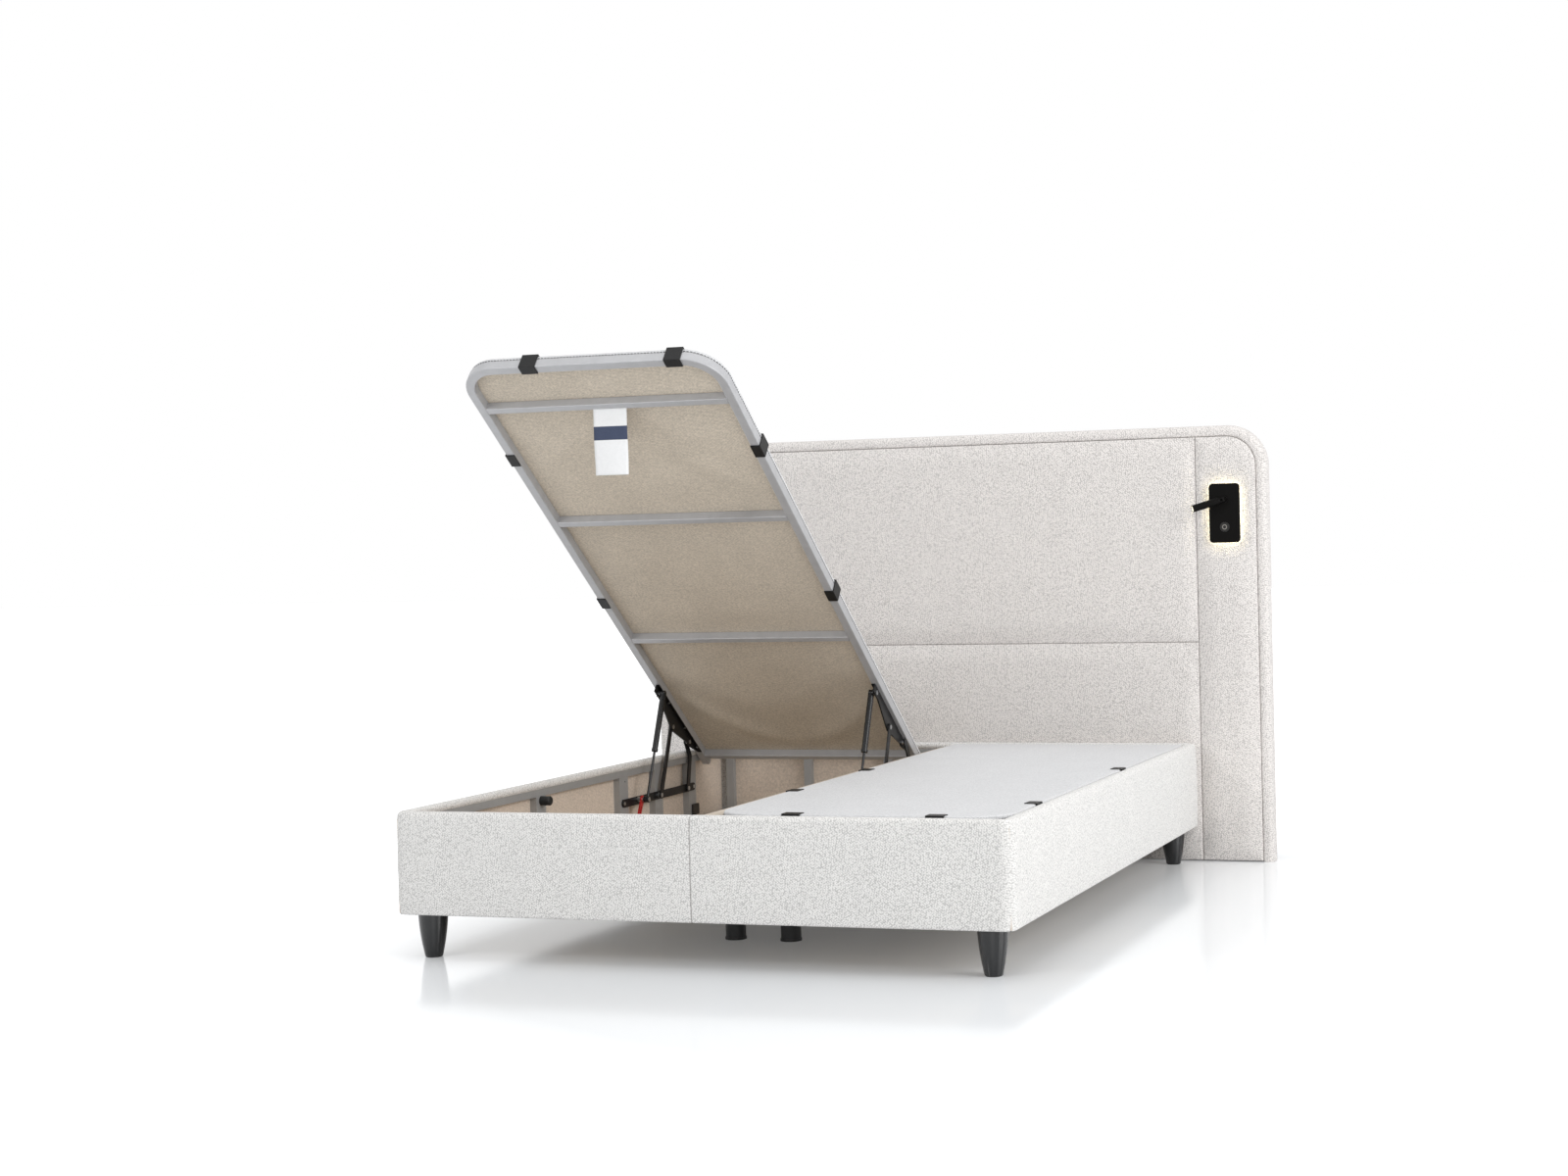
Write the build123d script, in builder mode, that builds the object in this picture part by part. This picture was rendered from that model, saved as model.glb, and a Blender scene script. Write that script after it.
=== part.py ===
from build123d import *
import os
from math import acos, atan2, cos, degrees, hypot, radians, sin

# Box spring bed: two storage bases side by side, each with a lid on gas-lift linkages, and a wide
# headboard with reading lamps. +X is the right side seen from the foot, +Y points to the head, +Z is up.
# The left lid is modelled open and the right lid closed.

# Driving dimensions, in millimetres and degrees
bed_width = 1600.0
bed_length = 2000.0
base_top = 367.0
foot_height = 112.0
headboard_width = 2056.0
headboard_height = 1344.0
headboard_depth = 88.0
headboard_gap = 12.0
lid_open_tilt = 37.93

# Walls of a half base, from the outer face inwards
half_gap = 1.0
skin = 8.0
lining = 2.0
tube = 20.0
tube_wall = 1.5
rim_height = 19.0
cap_height = 9.0
rim_radius = 6.0
rim_inner_radius = 3.0
lining_gap = 0.3
skin_edge_radius = 3.0
corner_radius = 7.5
plate_thickness = 3.0

# Posts and bearers, measured from the foot face, from the linkage's pivots, or from the middle of
# a half base
side_post_width = 55.0
end_post_width = 26.0
buffer_post_distance = 710.0
front_bar_post_lead = 81.3
middle_bar_post_offset = 14.0
rear_bar_post_offset = 48.4
post_hole_radius = 3.0
post_hole_drop = 14.0
post_hole_shift = 9.0
# Shares of half the inner width, from the middle of a half base, and of the bed's length
head_post_shares = (-0.964, -0.23, 0.506, 0.964)
foot_post_shares = (-0.964, 0.0, 0.964)
bearer_shares = (0.2175, 0.5, 0.7825)
floor_thickness = 5.0
floor_gap = 1.0

# Feet
corner_foot_inset_x = 70.0
corner_foot_inset_y = 62.0
corner_foot_top_radius = 37.5
corner_foot_bottom_radius = 22.0
corner_foot_bulge = 2.5
corner_foot_edge = 2.0
corner_plate_size = 130.0
centre_foot_x = 76.0
centre_foot_radius = 26.0
centre_foot_cap_height = 6.0
centre_foot_cap_extra = 1.5
centre_plate_width = 100.0
centre_plate_reach = 130.0

# Lid
lid_foot_gap = 24.6
lid_head_gap = 28.4
lid_side_gap = 5.5
lid_tube = 25.0
lid_tube_edge_radius = 2.5
lid_corner_radius = 105.0
lid_panel_thickness = 13.0
lid_panel_inset = 1.0
lid_panel_edge_radius = 3.0
cross_tube = 20.0
cross_tube_edge_radius = 2.0
cross_tube_shares = (0.016, 0.353, 0.651, 0.907)
clip_length = 45.0
clip_thickness = 3.0
clip_tongue = 30.0
clip_edge_radius = 1.5
clip_sink = 1.0
clip_pocket_gap = 0.3
# Clip places as shares of the lid's width, from its middle, and of its length, from its head end
left_lid_foot_clip_shares = (-0.21, 0.34)
left_lid_left_clip_shares = (0.461, 0.807)
left_lid_right_clip_shares = (0.471, 0.808)
right_lid_foot_clip_shares = (-0.215, 0.273)
right_lid_left_clip_shares = (0.443, 0.728)
right_lid_right_clip_shares = (0.4, 0.845)

# Lift linkage: all its pivots lie this far from the head end of the closed lid and below its tubes
front_pivot_setback = 495.6
front_pivot_drop = 78.0
rear_pivot_setback = 286.0
rear_pivot_drop = 79.0
strut_foot_setback = 639.3
strut_foot_drop = 75.0
lid_front_joint = 280.4
lid_front_joint_drop = 42.4
lid_rear_joint = 153.4
lid_rear_joint_drop = 14.6
strut_head_joint = 423.0
strut_head_drop = 14.0

# Linkage plates, pins and layers, counted from the wall's inner face
link_thickness = 4.0
layer_pitch = 6.0
link_width = 20.0
link_eye_radius = 11.0
crank_offset = 26.0
crank_share = 0.66
base_bar_height = 24.0
base_bar_front_reach = 100.0
base_bar_rear_reach = 62.0
pin_radius = 4.0
pin_clearance = 0.05
pin_head_radius = 7.5
pin_head_height = 1.5
pin_shoulder_radius = 7.0
side_clearance = 0.3
bracket_front_end = 450.0
bracket_rear_end = 75.0
bracket_flange = 12.0
bracket_flange_thickness = 3.0
bracket_web_margin = 11.0
bracket_corner_radius = 6.0
bracket_lobe_radius = 13.0
bracket_screw_shares = (0.08, 0.373, 0.747)
screw_head_radius = 4.0
screw_head_height = 2.5
bar_bolt_radius = 6.0
bar_bolt_height = 1.6

# Gas strut
strut_layer = 36.0
strut_radius = 9.0
strut_length = 185.0
strut_collar_radius = 10.0
strut_collar_length = 8.0
strut_rod_radius = 4.0
strut_rod_length = 200.0
strut_bore_clearance = 0.08
strut_bore_end = 12.0
strut_eye_radius = 9.0
strut_eye_reach = 6.0

# Safety catch on the strut's foot
catch_length = 46.0
catch_width = 9.0
catch_slot = 5.0
catch_tilt = 241.0
catch_ring_radius = 12.0

# Rest buffers and joint covers
buffer_radius = 13.0
buffer_length = 30.0
buffer_edge = 2.0
cover_length = 45.0
cover_shift = 14.0
cover_height = 34.0
cover_thickness = 6.0
cover_edge = 2.0
cover_rise_share = 0.31

# Joining bolts
bolt_radius = 4.0
bolt_clearance = 0.3
bolt_head_radius = 7.0
bolt_head_height = 5.0
join_bolt_rise_share = 0.508
mount_bolt_inset = 400.0
mount_bolt_height = 225.0
mount_spacer_width = 60.0
mount_spacer_height = 100.0
mount_washer_radius = 14.0
mount_washer_thickness = 2.0

# Headboard, with its upright seams at a share of the width inside the border
seam_share = 0.8123
seam_z = 677.6
border_width = 34.0
border_top = 36.0
border_setback = 4.0
border_radius = 125.0
border_inner_radius = 90.0
border_edge_radius = 14.0
border_back_radius = 6.0
pad_gap = 1.0
pad_floor_gap = 3.0
pad_edge_radius = 10.0
back_board_thickness = 18.0
back_board_inset = 8.0

# Reading lamp
lamp_seam_distance = 92.1
lamp_top_distance = 270.0
lamp_plate_width = 95.0
lamp_plate_height = 182.0
lamp_plate_thickness = 8.0
lamp_plate_radius = 12.0
lamp_plate_edge = 1.0
light_guide_inset = 6.0
light_guide_thickness = 7.0
lamp_box_width = 62.0
lamp_box_height = 130.0
lamp_box_depth = 40.0
lamp_box_gap = 0.5
lamp_pivot_rise = 41.0
button_drop = 43.0
button_radius = 15.0
button_gap = 0.3
button_thickness = 3.5
button_proud = 0.6
button_pocket = 5.2
button_edge = 0.8
swivel_radius = 11.0
swivel_thickness = 4.0
swivel_stub_radius = 4.0
swivel_stub_length = 6.0
lamp_pivot_height = 20.0
lug_thickness = 6.0
lug_radius = 6.0
lug_pin_radius = 2.0
cheek_thickness = 3.0
cheek_radius = 6.5
head_start = 14.0
head_length = 82.0
head_radius = 11.0
head_neck_radius = 8.0
head_neck_length = 8.0
lens_radius = 9.5
lens_depth = 3.0
lens_recess = 1.0
lamp_sweep = 17.6
lamp_lift = 25.5

# Derived places
total_length = bed_length + headboard_gap + headboard_depth
foot_y = -total_length / 2
wall = skin + lining + tube
half_width = bed_width / 2
outer_face = half_width - wall
centre_face = half_gap + lining + tube
box_centre = (outer_face + centre_face) / 2
box_reach = (outer_face - centre_face) / 2
rail_top = base_top - rim_height
rail_bottom = rail_top - tube
frame_bottom = foot_height + plate_thickness
frame_floor = frame_bottom + tube
lid_thickness = lid_tube + lid_panel_thickness
lid_length = bed_length - 2 * wall - lid_foot_gap - lid_head_gap
lid_reach = box_reach - lid_side_gap
lid_width = 2 * lid_reach
closed_bottom = base_top - lid_thickness
closed_head = bed_length - wall - lid_head_gap
front_pivot = (closed_head - front_pivot_setback, closed_bottom - front_pivot_drop)
rear_pivot = (closed_head - rear_pivot_setback, closed_bottom - rear_pivot_drop)
strut_foot = (closed_head - strut_foot_setback, closed_bottom - strut_foot_drop)
front_bar_post = strut_foot[0] - front_bar_post_lead
middle_bar_post = front_pivot[0] + middle_bar_post_offset
rear_bar_post = rear_pivot[0] + rear_bar_post_offset
floor_top = frame_floor + floor_thickness
bar_front = strut_foot[0] - base_bar_front_reach
bar_rear = rear_pivot[0] + base_bar_rear_reach
bar_height = (front_pivot[1] + rear_pivot[1]) / 2
room_under_bar = bar_height - base_bar_height / 2 - floor_top
join_bolt_height = floor_top + join_bolt_rise_share * room_under_bar
cover_centre_height = floor_top + cover_height / 2 + cover_rise_share * (room_under_bar - cover_height)
mount_bolt_x = half_width - mount_bolt_inset
seam_x = seam_share * (headboard_width / 2 - border_width)
lamp_x = seam_x + lamp_seam_distance
lamp_z = headboard_height - lamp_top_distance
arm_layer_rear = layer_pitch
arm_layer_front = 2 * layer_pitch
bracket_layer = 3 * layer_pitch
bearer_distances = [share * bed_length for share in bearer_shares]
centre_foot_distances = (bearer_distances[0], bearer_distances[-1])
head_post_offsets = [share * box_reach for share in head_post_shares]
foot_post_offsets = [share * box_reach for share in foot_post_shares]
cross_tube_distances = [share * lid_length for share in cross_tube_shares]
side_posts = (buffer_post_distance, front_bar_post, middle_bar_post, rear_bar_post)


def along(distance):
    """Y of a place that lies this far from the foot face."""
    return foot_y + distance


def facing_foot(distance):
    """Plane facing the foot at a distance from the foot face: local x is X and local y is Z."""
    return Plane((0, along(distance), 0), x_dir=(1, 0, 0), z_dir=(0, -1, 0))


def side_plane(x):
    """Plane across X: local x is the distance from the foot face and local y is the height."""
    return Plane((x, foot_y, 0), x_dir=(0, 1, 0), z_dir=(1, 0, 0))


# Four-bar linkage of a lid. Points are (distance from the foot face, height).
def on_lid(head_end, tilt, distance, drop):
    """Place of a lid point for a lid whose tube ends at head_end and that tilts by tilt degrees."""
    c, s = cos(radians(tilt)), sin(radians(tilt))
    return (head_end[0] - distance * c - drop * s, head_end[1] + distance * s - drop * c)


def gap_between(a, b):
    return hypot(b[0] - a[0], b[1] - a[1])


def direction(a, b):
    """Angle of the line from a to b above the +Y direction, in degrees."""
    return degrees(atan2(b[1] - a[1], b[0] - a[0]))


closed_end = (closed_head, closed_bottom)
closed_front_joint = on_lid(closed_end, 0, lid_front_joint, lid_front_joint_drop)
closed_rear_joint = on_lid(closed_end, 0, lid_rear_joint, lid_rear_joint_drop)
front_arm_length = gap_between(front_pivot, closed_front_joint)
rear_arm_length = gap_between(rear_pivot, closed_rear_joint)


def open_front_joint(tilt):
    """Where the front arm meets the lid once the lid tilts: the crossing of two circles."""
    step = on_lid((0, 0), tilt, lid_rear_joint, lid_rear_joint_drop)
    back = on_lid((0, 0), tilt, lid_front_joint, lid_front_joint_drop)
    shift = (step[0] - back[0], step[1] - back[1])
    centre = (rear_pivot[0] - shift[0], rear_pivot[1] - shift[1])
    span = gap_between(front_pivot, centre)
    ratio = (front_arm_length**2 + span**2 - rear_arm_length**2) / (2 * front_arm_length * span)
    angle = radians(direction(front_pivot, centre)) + acos(ratio)
    return (
        front_pivot[0] + front_arm_length * cos(angle),
        front_pivot[1] + front_arm_length * sin(angle),
    )


open_joint = open_front_joint(lid_open_tilt)
open_offset = on_lid((0, 0), lid_open_tilt, lid_front_joint, lid_front_joint_drop)
open_end = (open_joint[0] - open_offset[0], open_joint[1] - open_offset[1])
poses = {-1: (open_end, lid_open_tilt), 1: (closed_end, 0.0)}
side_names = {-1: "left", 1: "right"}
finished = {}


def keep(name, builder):
    """Labels a finished piece and files it under its name."""
    builder.part.label = name
    finished[name] = builder.part


# Upholstered panels of the half bases
def wall_points(outer, inwards):
    """Section of a padded wall: a thin skin with a wide roll over the frame's top rail. The outer
    face is at outer, and the wall's depth runs along inwards."""
    return (
        (outer, foot_height),
        (outer, base_top),
        (outer + inwards * wall, base_top),
        (outer + inwards * wall, rail_top),
        (outer + inwards * skin, rail_top),
        (outer + inwards * skin, foot_height),
    )


with BuildPart() as foot_panels:
    for side in (-1, 1):
        start = min(side * half_gap, side * half_width)
        with BuildSketch(side_plane(start)):
            Polygon(*wall_points(0, 1), align=None)
        extrude(amount=half_width - half_gap)
    for side in (-1, 1):
        corner = foot_panels.edges().filter_by(Axis.Z).group_by(Axis.Y)[0].sort_by(Axis.X)
        fillet(corner[0] if side < 0 else corner[-1], corner_radius)
    rims = foot_panels.edges().filter_by(Axis.X).group_by(Axis.Z)[-1].group_by(Axis.Y)
    fillet(rims[0], rim_radius)
keep("foot_panels", foot_panels)

with BuildPart() as head_panels:
    for side in (-1, 1):
        start = min(side * half_gap, side * half_width)
        with BuildSketch(side_plane(start)):
            Polygon(*wall_points(bed_length, -1), align=None)
        extrude(amount=half_width - half_gap)
    rims = head_panels.edges().filter_by(Axis.X).group_by(Axis.Z)[-1].group_by(Axis.Y)
    fillet(rims[-1], rim_inner_radius)
    with Locations((0, along(bed_length), mount_bolt_height)):
        with Locations((-mount_bolt_x, 0, 0), (mount_bolt_x, 0, 0)):
            Cylinder(
                bolt_radius + bolt_clearance, 2 * wall, rotation=(90, 0, 0), mode=Mode.SUBTRACT
            )
keep("head_panels", head_panels)

with BuildPart() as side_panels:
    for side in (-1, 1):
        with BuildSketch(facing_foot(bed_length - skin)):
            with Locations((side * (half_width - skin / 2), (foot_height + rail_top) / 2)):
                Rectangle(skin, rail_top - foot_height)
        extrude(amount=bed_length - 2 * skin)
        with BuildSketch(facing_foot(bed_length - wall)):
            with Locations((side * (half_width - wall / 2), base_top - rim_height / 2)):
                Rectangle(wall, rim_height)
        extrude(amount=bed_length - 2 * wall)
    outer_rims = side_panels.edges().filter_by(Axis.Y).group_by(Axis.Z)[-1].sort_by(Axis.X)
    fillet([outer_rims[0], outer_rims[-1]], rim_radius)
    low_edges = side_panels.edges().filter_by(Axis.Y).group_by(Axis.Z)[0].sort_by(Axis.X)
    fillet([low_edges[0], low_edges[-1]], skin_edge_radius)
keep("side_panels", side_panels)

with BuildPart() as centre_caps:
    with BuildSketch(facing_foot(bed_length - wall)):
        for side in (-1, 1):
            with Locations((side * (half_gap + centre_face) / 2, rail_top + cap_height / 2)):
                Rectangle(centre_face - half_gap, cap_height)
    extrude(amount=bed_length - 2 * wall)
    cap_edges = centre_caps.edges().filter_by(Axis.Y).group_by(Axis.Z)[-1].sort_by(Axis.X)
    fillet([cap_edges[0], cap_edges[-1]], rim_inner_radius)
keep("centre_caps", centre_caps)

# Thin boards inside the walls, between the skin and the steel frame
with BuildPart() as wall_linings:
    lining_height = rail_top - frame_bottom
    lining_middle = (rail_top + frame_bottom) / 2
    for side in (-1, 1):
        for x in (half_width - skin - lining / 2, half_gap + lining / 2):
            with BuildSketch(facing_foot(bed_length - skin - lining - lining_gap)):
                with Locations((side * x, lining_middle)):
                    Rectangle(lining, lining_height)
            extrude(amount=bed_length - 2 * (skin + lining + lining_gap))
        for distance in (skin + lining, bed_length - skin):
            with BuildSketch(facing_foot(distance)):
                with Locations((side * (half_gap + half_width - skin) / 2, lining_middle)):
                    Rectangle(half_width - skin - half_gap, lining_height)
            extrude(amount=lining)
    with Locations((0, along(bed_length), mount_bolt_height)):
        with Locations((-mount_bolt_x, 0, 0), (mount_bolt_x, 0, 0)):
            Cylinder(
                bolt_radius + bolt_clearance, 2 * wall, rotation=(90, 0, 0), mode=Mode.SUBTRACT
            )
    with Locations(
        (0, along(buffer_post_distance), join_bolt_height),
        (0, along(middle_bar_post), join_bolt_height),
    ):
        Cylinder(
            bolt_radius + bolt_clearance, 2 * centre_face, rotation=(0, 90, 0), mode=Mode.SUBTRACT
        )
keep("wall_linings", wall_linings)

# Steel frame, with its closed square tubes modelled solid
rail_columns = [
    side * x for side in (-1, 1) for x in (half_width - skin - lining - tube / 2, centre_face - tube / 2)
]


def frame_rails(height):
    """The ring of four square tubes of each half base, at one height."""
    with BuildPart() as rails:
        with BuildSketch(facing_foot(bed_length - skin - lining)):
            with Locations(*[(x, height) for x in rail_columns]):
                Rectangle(tube, tube)
        extrude(amount=bed_length - 2 * (skin + lining))
        for side in (-1, 1):
            start = min(side * centre_face, side * outer_face)
            with BuildSketch(side_plane(start)):
                with Locations((wall - tube / 2, height), (bed_length - wall + tube / 2, height)):
                    Rectangle(tube, tube)
            extrude(amount=outer_face - centre_face)
    return rails


keep("top_rails", frame_rails(rail_top - tube / 2))
keep("bottom_rails", frame_rails(frame_bottom + tube / 2))

with BuildPart() as side_wall_posts:
    with BuildSketch(Plane.XY.offset(frame_floor)):
        with Locations(*[(x, along(d)) for x in rail_columns for d in side_posts]):
            Rectangle(tube, side_post_width)
    extrude(amount=rail_bottom - frame_floor)
    with Locations(
        (0, along(buffer_post_distance), join_bolt_height),
        (0, along(middle_bar_post), join_bolt_height),
    ):
        Cylinder(
            bolt_radius + bolt_clearance, 2 * centre_face, rotation=(0, 90, 0), mode=Mode.SUBTRACT
        )
    with Locations((0, along(front_bar_post + post_hole_shift), rail_bottom - post_hole_drop)):
        Cylinder(post_hole_radius, bed_width, rotation=(0, 90, 0), mode=Mode.SUBTRACT)
keep("side_wall_posts", side_wall_posts)

with BuildPart() as end_wall_posts:
    post_places = [
        (side * box_centre + offset, along(wall - tube / 2))
        for side in (-1, 1)
        for offset in foot_post_offsets
    ]
    post_places += [
        (side * box_centre + offset, along(bed_length - wall + tube / 2))
        for side in (-1, 1)
        for offset in head_post_offsets
    ]
    with BuildSketch(Plane.XY.offset(frame_floor)):
        with Locations(*post_places):
            Rectangle(end_post_width, tube)
    extrude(amount=rail_bottom - frame_floor)
keep("end_wall_posts", end_wall_posts)

with BuildPart() as floor_bearers:
    for side in (-1, 1):
        with BuildSketch(side_plane(min(side * centre_face, side * outer_face))):
            with Locations(*[(d, frame_bottom + tube / 2) for d in bearer_distances]):
                Rectangle(tube, tube)
        extrude(amount=outer_face - centre_face)
keep("floor_bearers", floor_bearers)

with BuildPart() as floor_boards:
    with BuildSketch(Plane.XY.offset(frame_floor)):
        with Locations(*[(side * box_centre, along(bed_length / 2)) for side in (-1, 1)]):
            Rectangle(2 * (box_reach - floor_gap), bed_length - 2 * (wall + floor_gap))
    extrude(amount=floor_thickness)
keep("floor_boards", floor_boards)

# Feet and their mounting plates
corner_feet_places = [
    (sx * (half_width - corner_foot_inset_x), along(d))
    for sx in (-1, 1)
    for d in (corner_foot_inset_y, bed_length - corner_foot_inset_y)
]
centre_feet_places = [(sx * centre_foot_x, along(d)) for sx in (-1, 1) for d in centre_foot_distances]
frame_edge = half_width - skin - lining
corner_plate_x = frame_edge - corner_plate_size / 2
corner_plate_d = skin + lining + corner_plate_size / 2
centre_plate_start = half_gap + lining
centre_plate_x = (centre_plate_start + centre_plate_reach) / 2

with BuildPart() as foot_plates:
    with BuildSketch(Plane.XY.offset(foot_height)):
        with Locations(
            *[
                (sx * corner_plate_x, along(d))
                for sx in (-1, 1)
                for d in (corner_plate_d, bed_length - corner_plate_d)
            ]
        ):
            Rectangle(corner_plate_size, corner_plate_size)
        with Locations(*[(sx * centre_plate_x, along(d)) for sx in (-1, 1) for d in centre_foot_distances]):
            Rectangle(centre_plate_reach - centre_plate_start, centre_plate_width)
    extrude(amount=plate_thickness)
keep("foot_plates", foot_plates)

with BuildPart() as corner_feet:
    middle = (corner_foot_top_radius + corner_foot_bottom_radius) / 2 + corner_foot_bulge
    for x, y in corner_feet_places:
        with BuildSketch(Plane((x, y, 0), x_dir=(1, 0, 0), z_dir=(0, -1, 0))):
            with BuildLine():
                Polyline(
                    (0, foot_height),
                    (0, 0),
                    (corner_foot_bottom_radius - corner_foot_edge, 0),
                    (corner_foot_bottom_radius, corner_foot_edge),
                )
                ThreePointArc(
                    (corner_foot_bottom_radius, corner_foot_edge),
                    (middle, foot_height / 2),
                    (corner_foot_top_radius, foot_height),
                )
                Line((corner_foot_top_radius, foot_height), (0, foot_height))
            make_face()
        revolve(axis=Axis((x, y, 0), (0, 0, 1)))
keep("corner_feet", corner_feet)

with BuildPart() as centre_feet:
    with BuildSketch(Plane.XY):
        with Locations(*centre_feet_places):
            Circle(centre_foot_radius + centre_foot_cap_extra)
    extrude(amount=centre_foot_cap_height)
    with BuildSketch(Plane.XY.offset(centre_foot_cap_height)):
        with Locations(*centre_feet_places):
            Circle(centre_foot_radius)
    extrude(amount=foot_height - centre_foot_cap_height)
keep("centre_feet", centre_feet)

# Rubber buffers that the closed lids rest on, and small covers at the frame joints
buffer_height = closed_bottom - side_clearance - buffer_radius
with BuildPart() as rest_buffers:
    for side in (-1, 1):
        for face, inwards in ((side * outer_face, -side), (side * centre_face, side)):
            with BuildSketch(side_plane(face)):
                with Locations((buffer_post_distance, buffer_height)):
                    Circle(buffer_radius)
            extrude(amount=inwards * buffer_length)
    rim_edges = [
        edge
        for edge in rest_buffers.edges().filter_by(GeomType.CIRCLE)
        if centre_face + side_clearance < abs(edge.center().X) < outer_face - side_clearance
    ]
    chamfer(rim_edges, buffer_edge)
keep("rest_buffers", rest_buffers)

with BuildPart() as joint_covers:
    cover_distance = rear_bar_post + cover_shift
    for side in (-1, 1):
        for face, inwards in ((side * outer_face, -side), (side * centre_face, side)):
            with BuildSketch(side_plane(face)):
                with Locations((cover_distance, cover_centre_height)):
                    RectangleRounded(cover_length, cover_height, cover_edge)
            extrude(amount=inwards * cover_thickness)
keep("joint_covers", joint_covers)

# Bolts that join the two half bases through their centre walls, and bolts of the linkages' base bars
bar_bolts = (bar_front + base_bar_height / 2, bar_rear - base_bar_height / 2)
with BuildPart() as frame_bolts:
    for distance in (buffer_post_distance, middle_bar_post):
        with BuildSketch(side_plane(-centre_face)):
            with Locations((distance, join_bolt_height)):
                Circle(bolt_radius)
        extrude(amount=2 * centre_face)
        for face, outwards in ((-centre_face, -1), (centre_face, 1)):
            with BuildSketch(side_plane(face)):
                with Locations((distance, join_bolt_height)):
                    RegularPolygon(bolt_head_radius, 6)
            extrude(amount=outwards * bolt_head_height)
    for side in (-1, 1):
        for face, inwards in ((side * outer_face, -side), (side * centre_face, side)):
            with BuildSketch(side_plane(face + inwards * link_thickness)):
                with Locations(*[(d, bar_height) for d in bar_bolts]):
                    RegularPolygon(bar_bolt_radius, 6)
            extrude(amount=inwards * bar_bolt_height)
keep("frame_bolts", frame_bolts)

# Headboard
board_front = bed_length + headboard_gap
board_back = board_front + headboard_depth
back_board_front = board_back - back_board_thickness
border_front = board_front + border_setback
border_back = back_board_front
border_x = headboard_width / 2 - border_width
border_z = headboard_height - border_top


def arch(half, height, radius):
    """Upright panel outline with rounded top corners and its foot on the floor."""
    with BuildSketch(Plane.XY) as outline:
        with BuildLine():
            FilletPolyline((-half, 0), (-half, height), (half, height), (half, 0), radius=radius)
            Line((half, 0), (-half, 0))
        make_face()
    return outline.sketch


board_outline = arch(
    headboard_width / 2 - back_board_inset,
    headboard_height - back_board_inset,
    border_radius - back_board_inset,
)
with BuildPart() as back_board:
    with BuildSketch(facing_foot(board_back)):
        add(board_outline)
    extrude(amount=back_board_thickness)
    with BuildSketch(facing_foot(board_back)):
        with Locations((-mount_bolt_x, mount_bolt_height), (mount_bolt_x, mount_bolt_height)):
            Circle(bolt_radius + bolt_clearance)
    extrude(amount=back_board_thickness, mode=Mode.SUBTRACT)
keep("headboard_back_board", back_board)

border_outline = arch(headboard_width / 2, headboard_height, border_radius)
border_inside = arch(border_x, border_z, border_inner_radius)
with BuildPart() as border:
    with BuildSketch(facing_foot(border_back)):
        add(border_outline)
        add(border_inside, mode=Mode.SUBTRACT)
    extrude(amount=border_back - border_front)
    for face_number, edge_radius in ((0, border_edge_radius), (-1, border_back_radius)):
        face = border.faces().group_by(Axis.Y)[face_number][0]
        outline = [
            edge
            for edge in face.outer_wire().edges()
            if edge.center().Z > pad_gap
            and (abs(edge.center().X) > border_x + pad_gap or edge.center().Z > border_z + pad_gap)
        ]
        fillet(outline, edge_radius)
keep("headboard_border", border)


def soften(part, radius):
    """Rounds the front edges of a pad, which face the foot."""
    fillet(part.faces().sort_by(Axis.Y)[0].outer_wire().edges(), radius)


pad_half = seam_x - pad_gap / 2
with BuildPart() as upper_pad:
    low, high = seam_z + pad_gap / 2, border_z - pad_gap
    with BuildSketch(facing_foot(back_board_front)):
        with Locations((0, (low + high) / 2)):
            Rectangle(2 * pad_half, high - low)
    extrude(amount=back_board_front - board_front)
    soften(upper_pad, pad_edge_radius)
keep("headboard_upper_pad", upper_pad)

with BuildPart() as lower_pad:
    low, high = pad_floor_gap, seam_z - pad_gap / 2
    with BuildSketch(facing_foot(back_board_front)):
        with Locations((0, (low + high) / 2)):
            Rectangle(2 * pad_half, high - low)
    extrude(amount=back_board_front - board_front)
    soften(lower_pad, pad_edge_radius)
    with BuildSketch(facing_foot(back_board_front)):
        with Locations((-mount_bolt_x, mount_bolt_height), (mount_bolt_x, mount_bolt_height)):
            Circle(bolt_radius + bolt_clearance)
    extrude(amount=headboard_depth, mode=Mode.SUBTRACT)
keep("headboard_lower_pad", lower_pad)

pad_inner_x = seam_x + pad_gap / 2
pad_outer_x = border_x - pad_gap
pad_top_z = border_z - pad_gap
for side in (-1, 1):
    with BuildPart() as side_pad:
        with BuildSketch(facing_foot(back_board_front)) as outline:
            with BuildLine():
                Polyline(
                    (side * pad_outer_x, pad_floor_gap),
                    (side * pad_inner_x, pad_floor_gap),
                    (side * pad_inner_x, pad_top_z),
                    (side * pad_outer_x, pad_top_z),
                    close=True,
                )
            make_face()
            top_outer = outline.vertices().group_by(Axis.Y)[-1].sort_by(Axis.X)
            fillet(top_outer[-1] if side > 0 else top_outer[0], border_inner_radius - pad_gap)
        extrude(amount=back_board_front - board_front)
        soften(side_pad, pad_edge_radius)
        with BuildSketch(facing_foot(board_front)):
            with Locations((side * lamp_x, lamp_z)):
                Rectangle(lamp_box_width + 2 * lamp_box_gap, lamp_box_height + 2 * lamp_box_gap)
        extrude(amount=-(lamp_box_depth + lamp_box_gap), mode=Mode.SUBTRACT)
    keep(f"headboard_{side_names[side]}_pad", side_pad)

with BuildPart() as mount_spacers:
    with BuildSketch(facing_foot(board_front)):
        with Locations((-mount_bolt_x, mount_bolt_height), (mount_bolt_x, mount_bolt_height)):
            Rectangle(mount_spacer_width, mount_spacer_height)
            Circle(bolt_radius + bolt_clearance, mode=Mode.SUBTRACT)
    extrude(amount=headboard_gap)
keep("headboard_spacers", mount_spacers)

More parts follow.
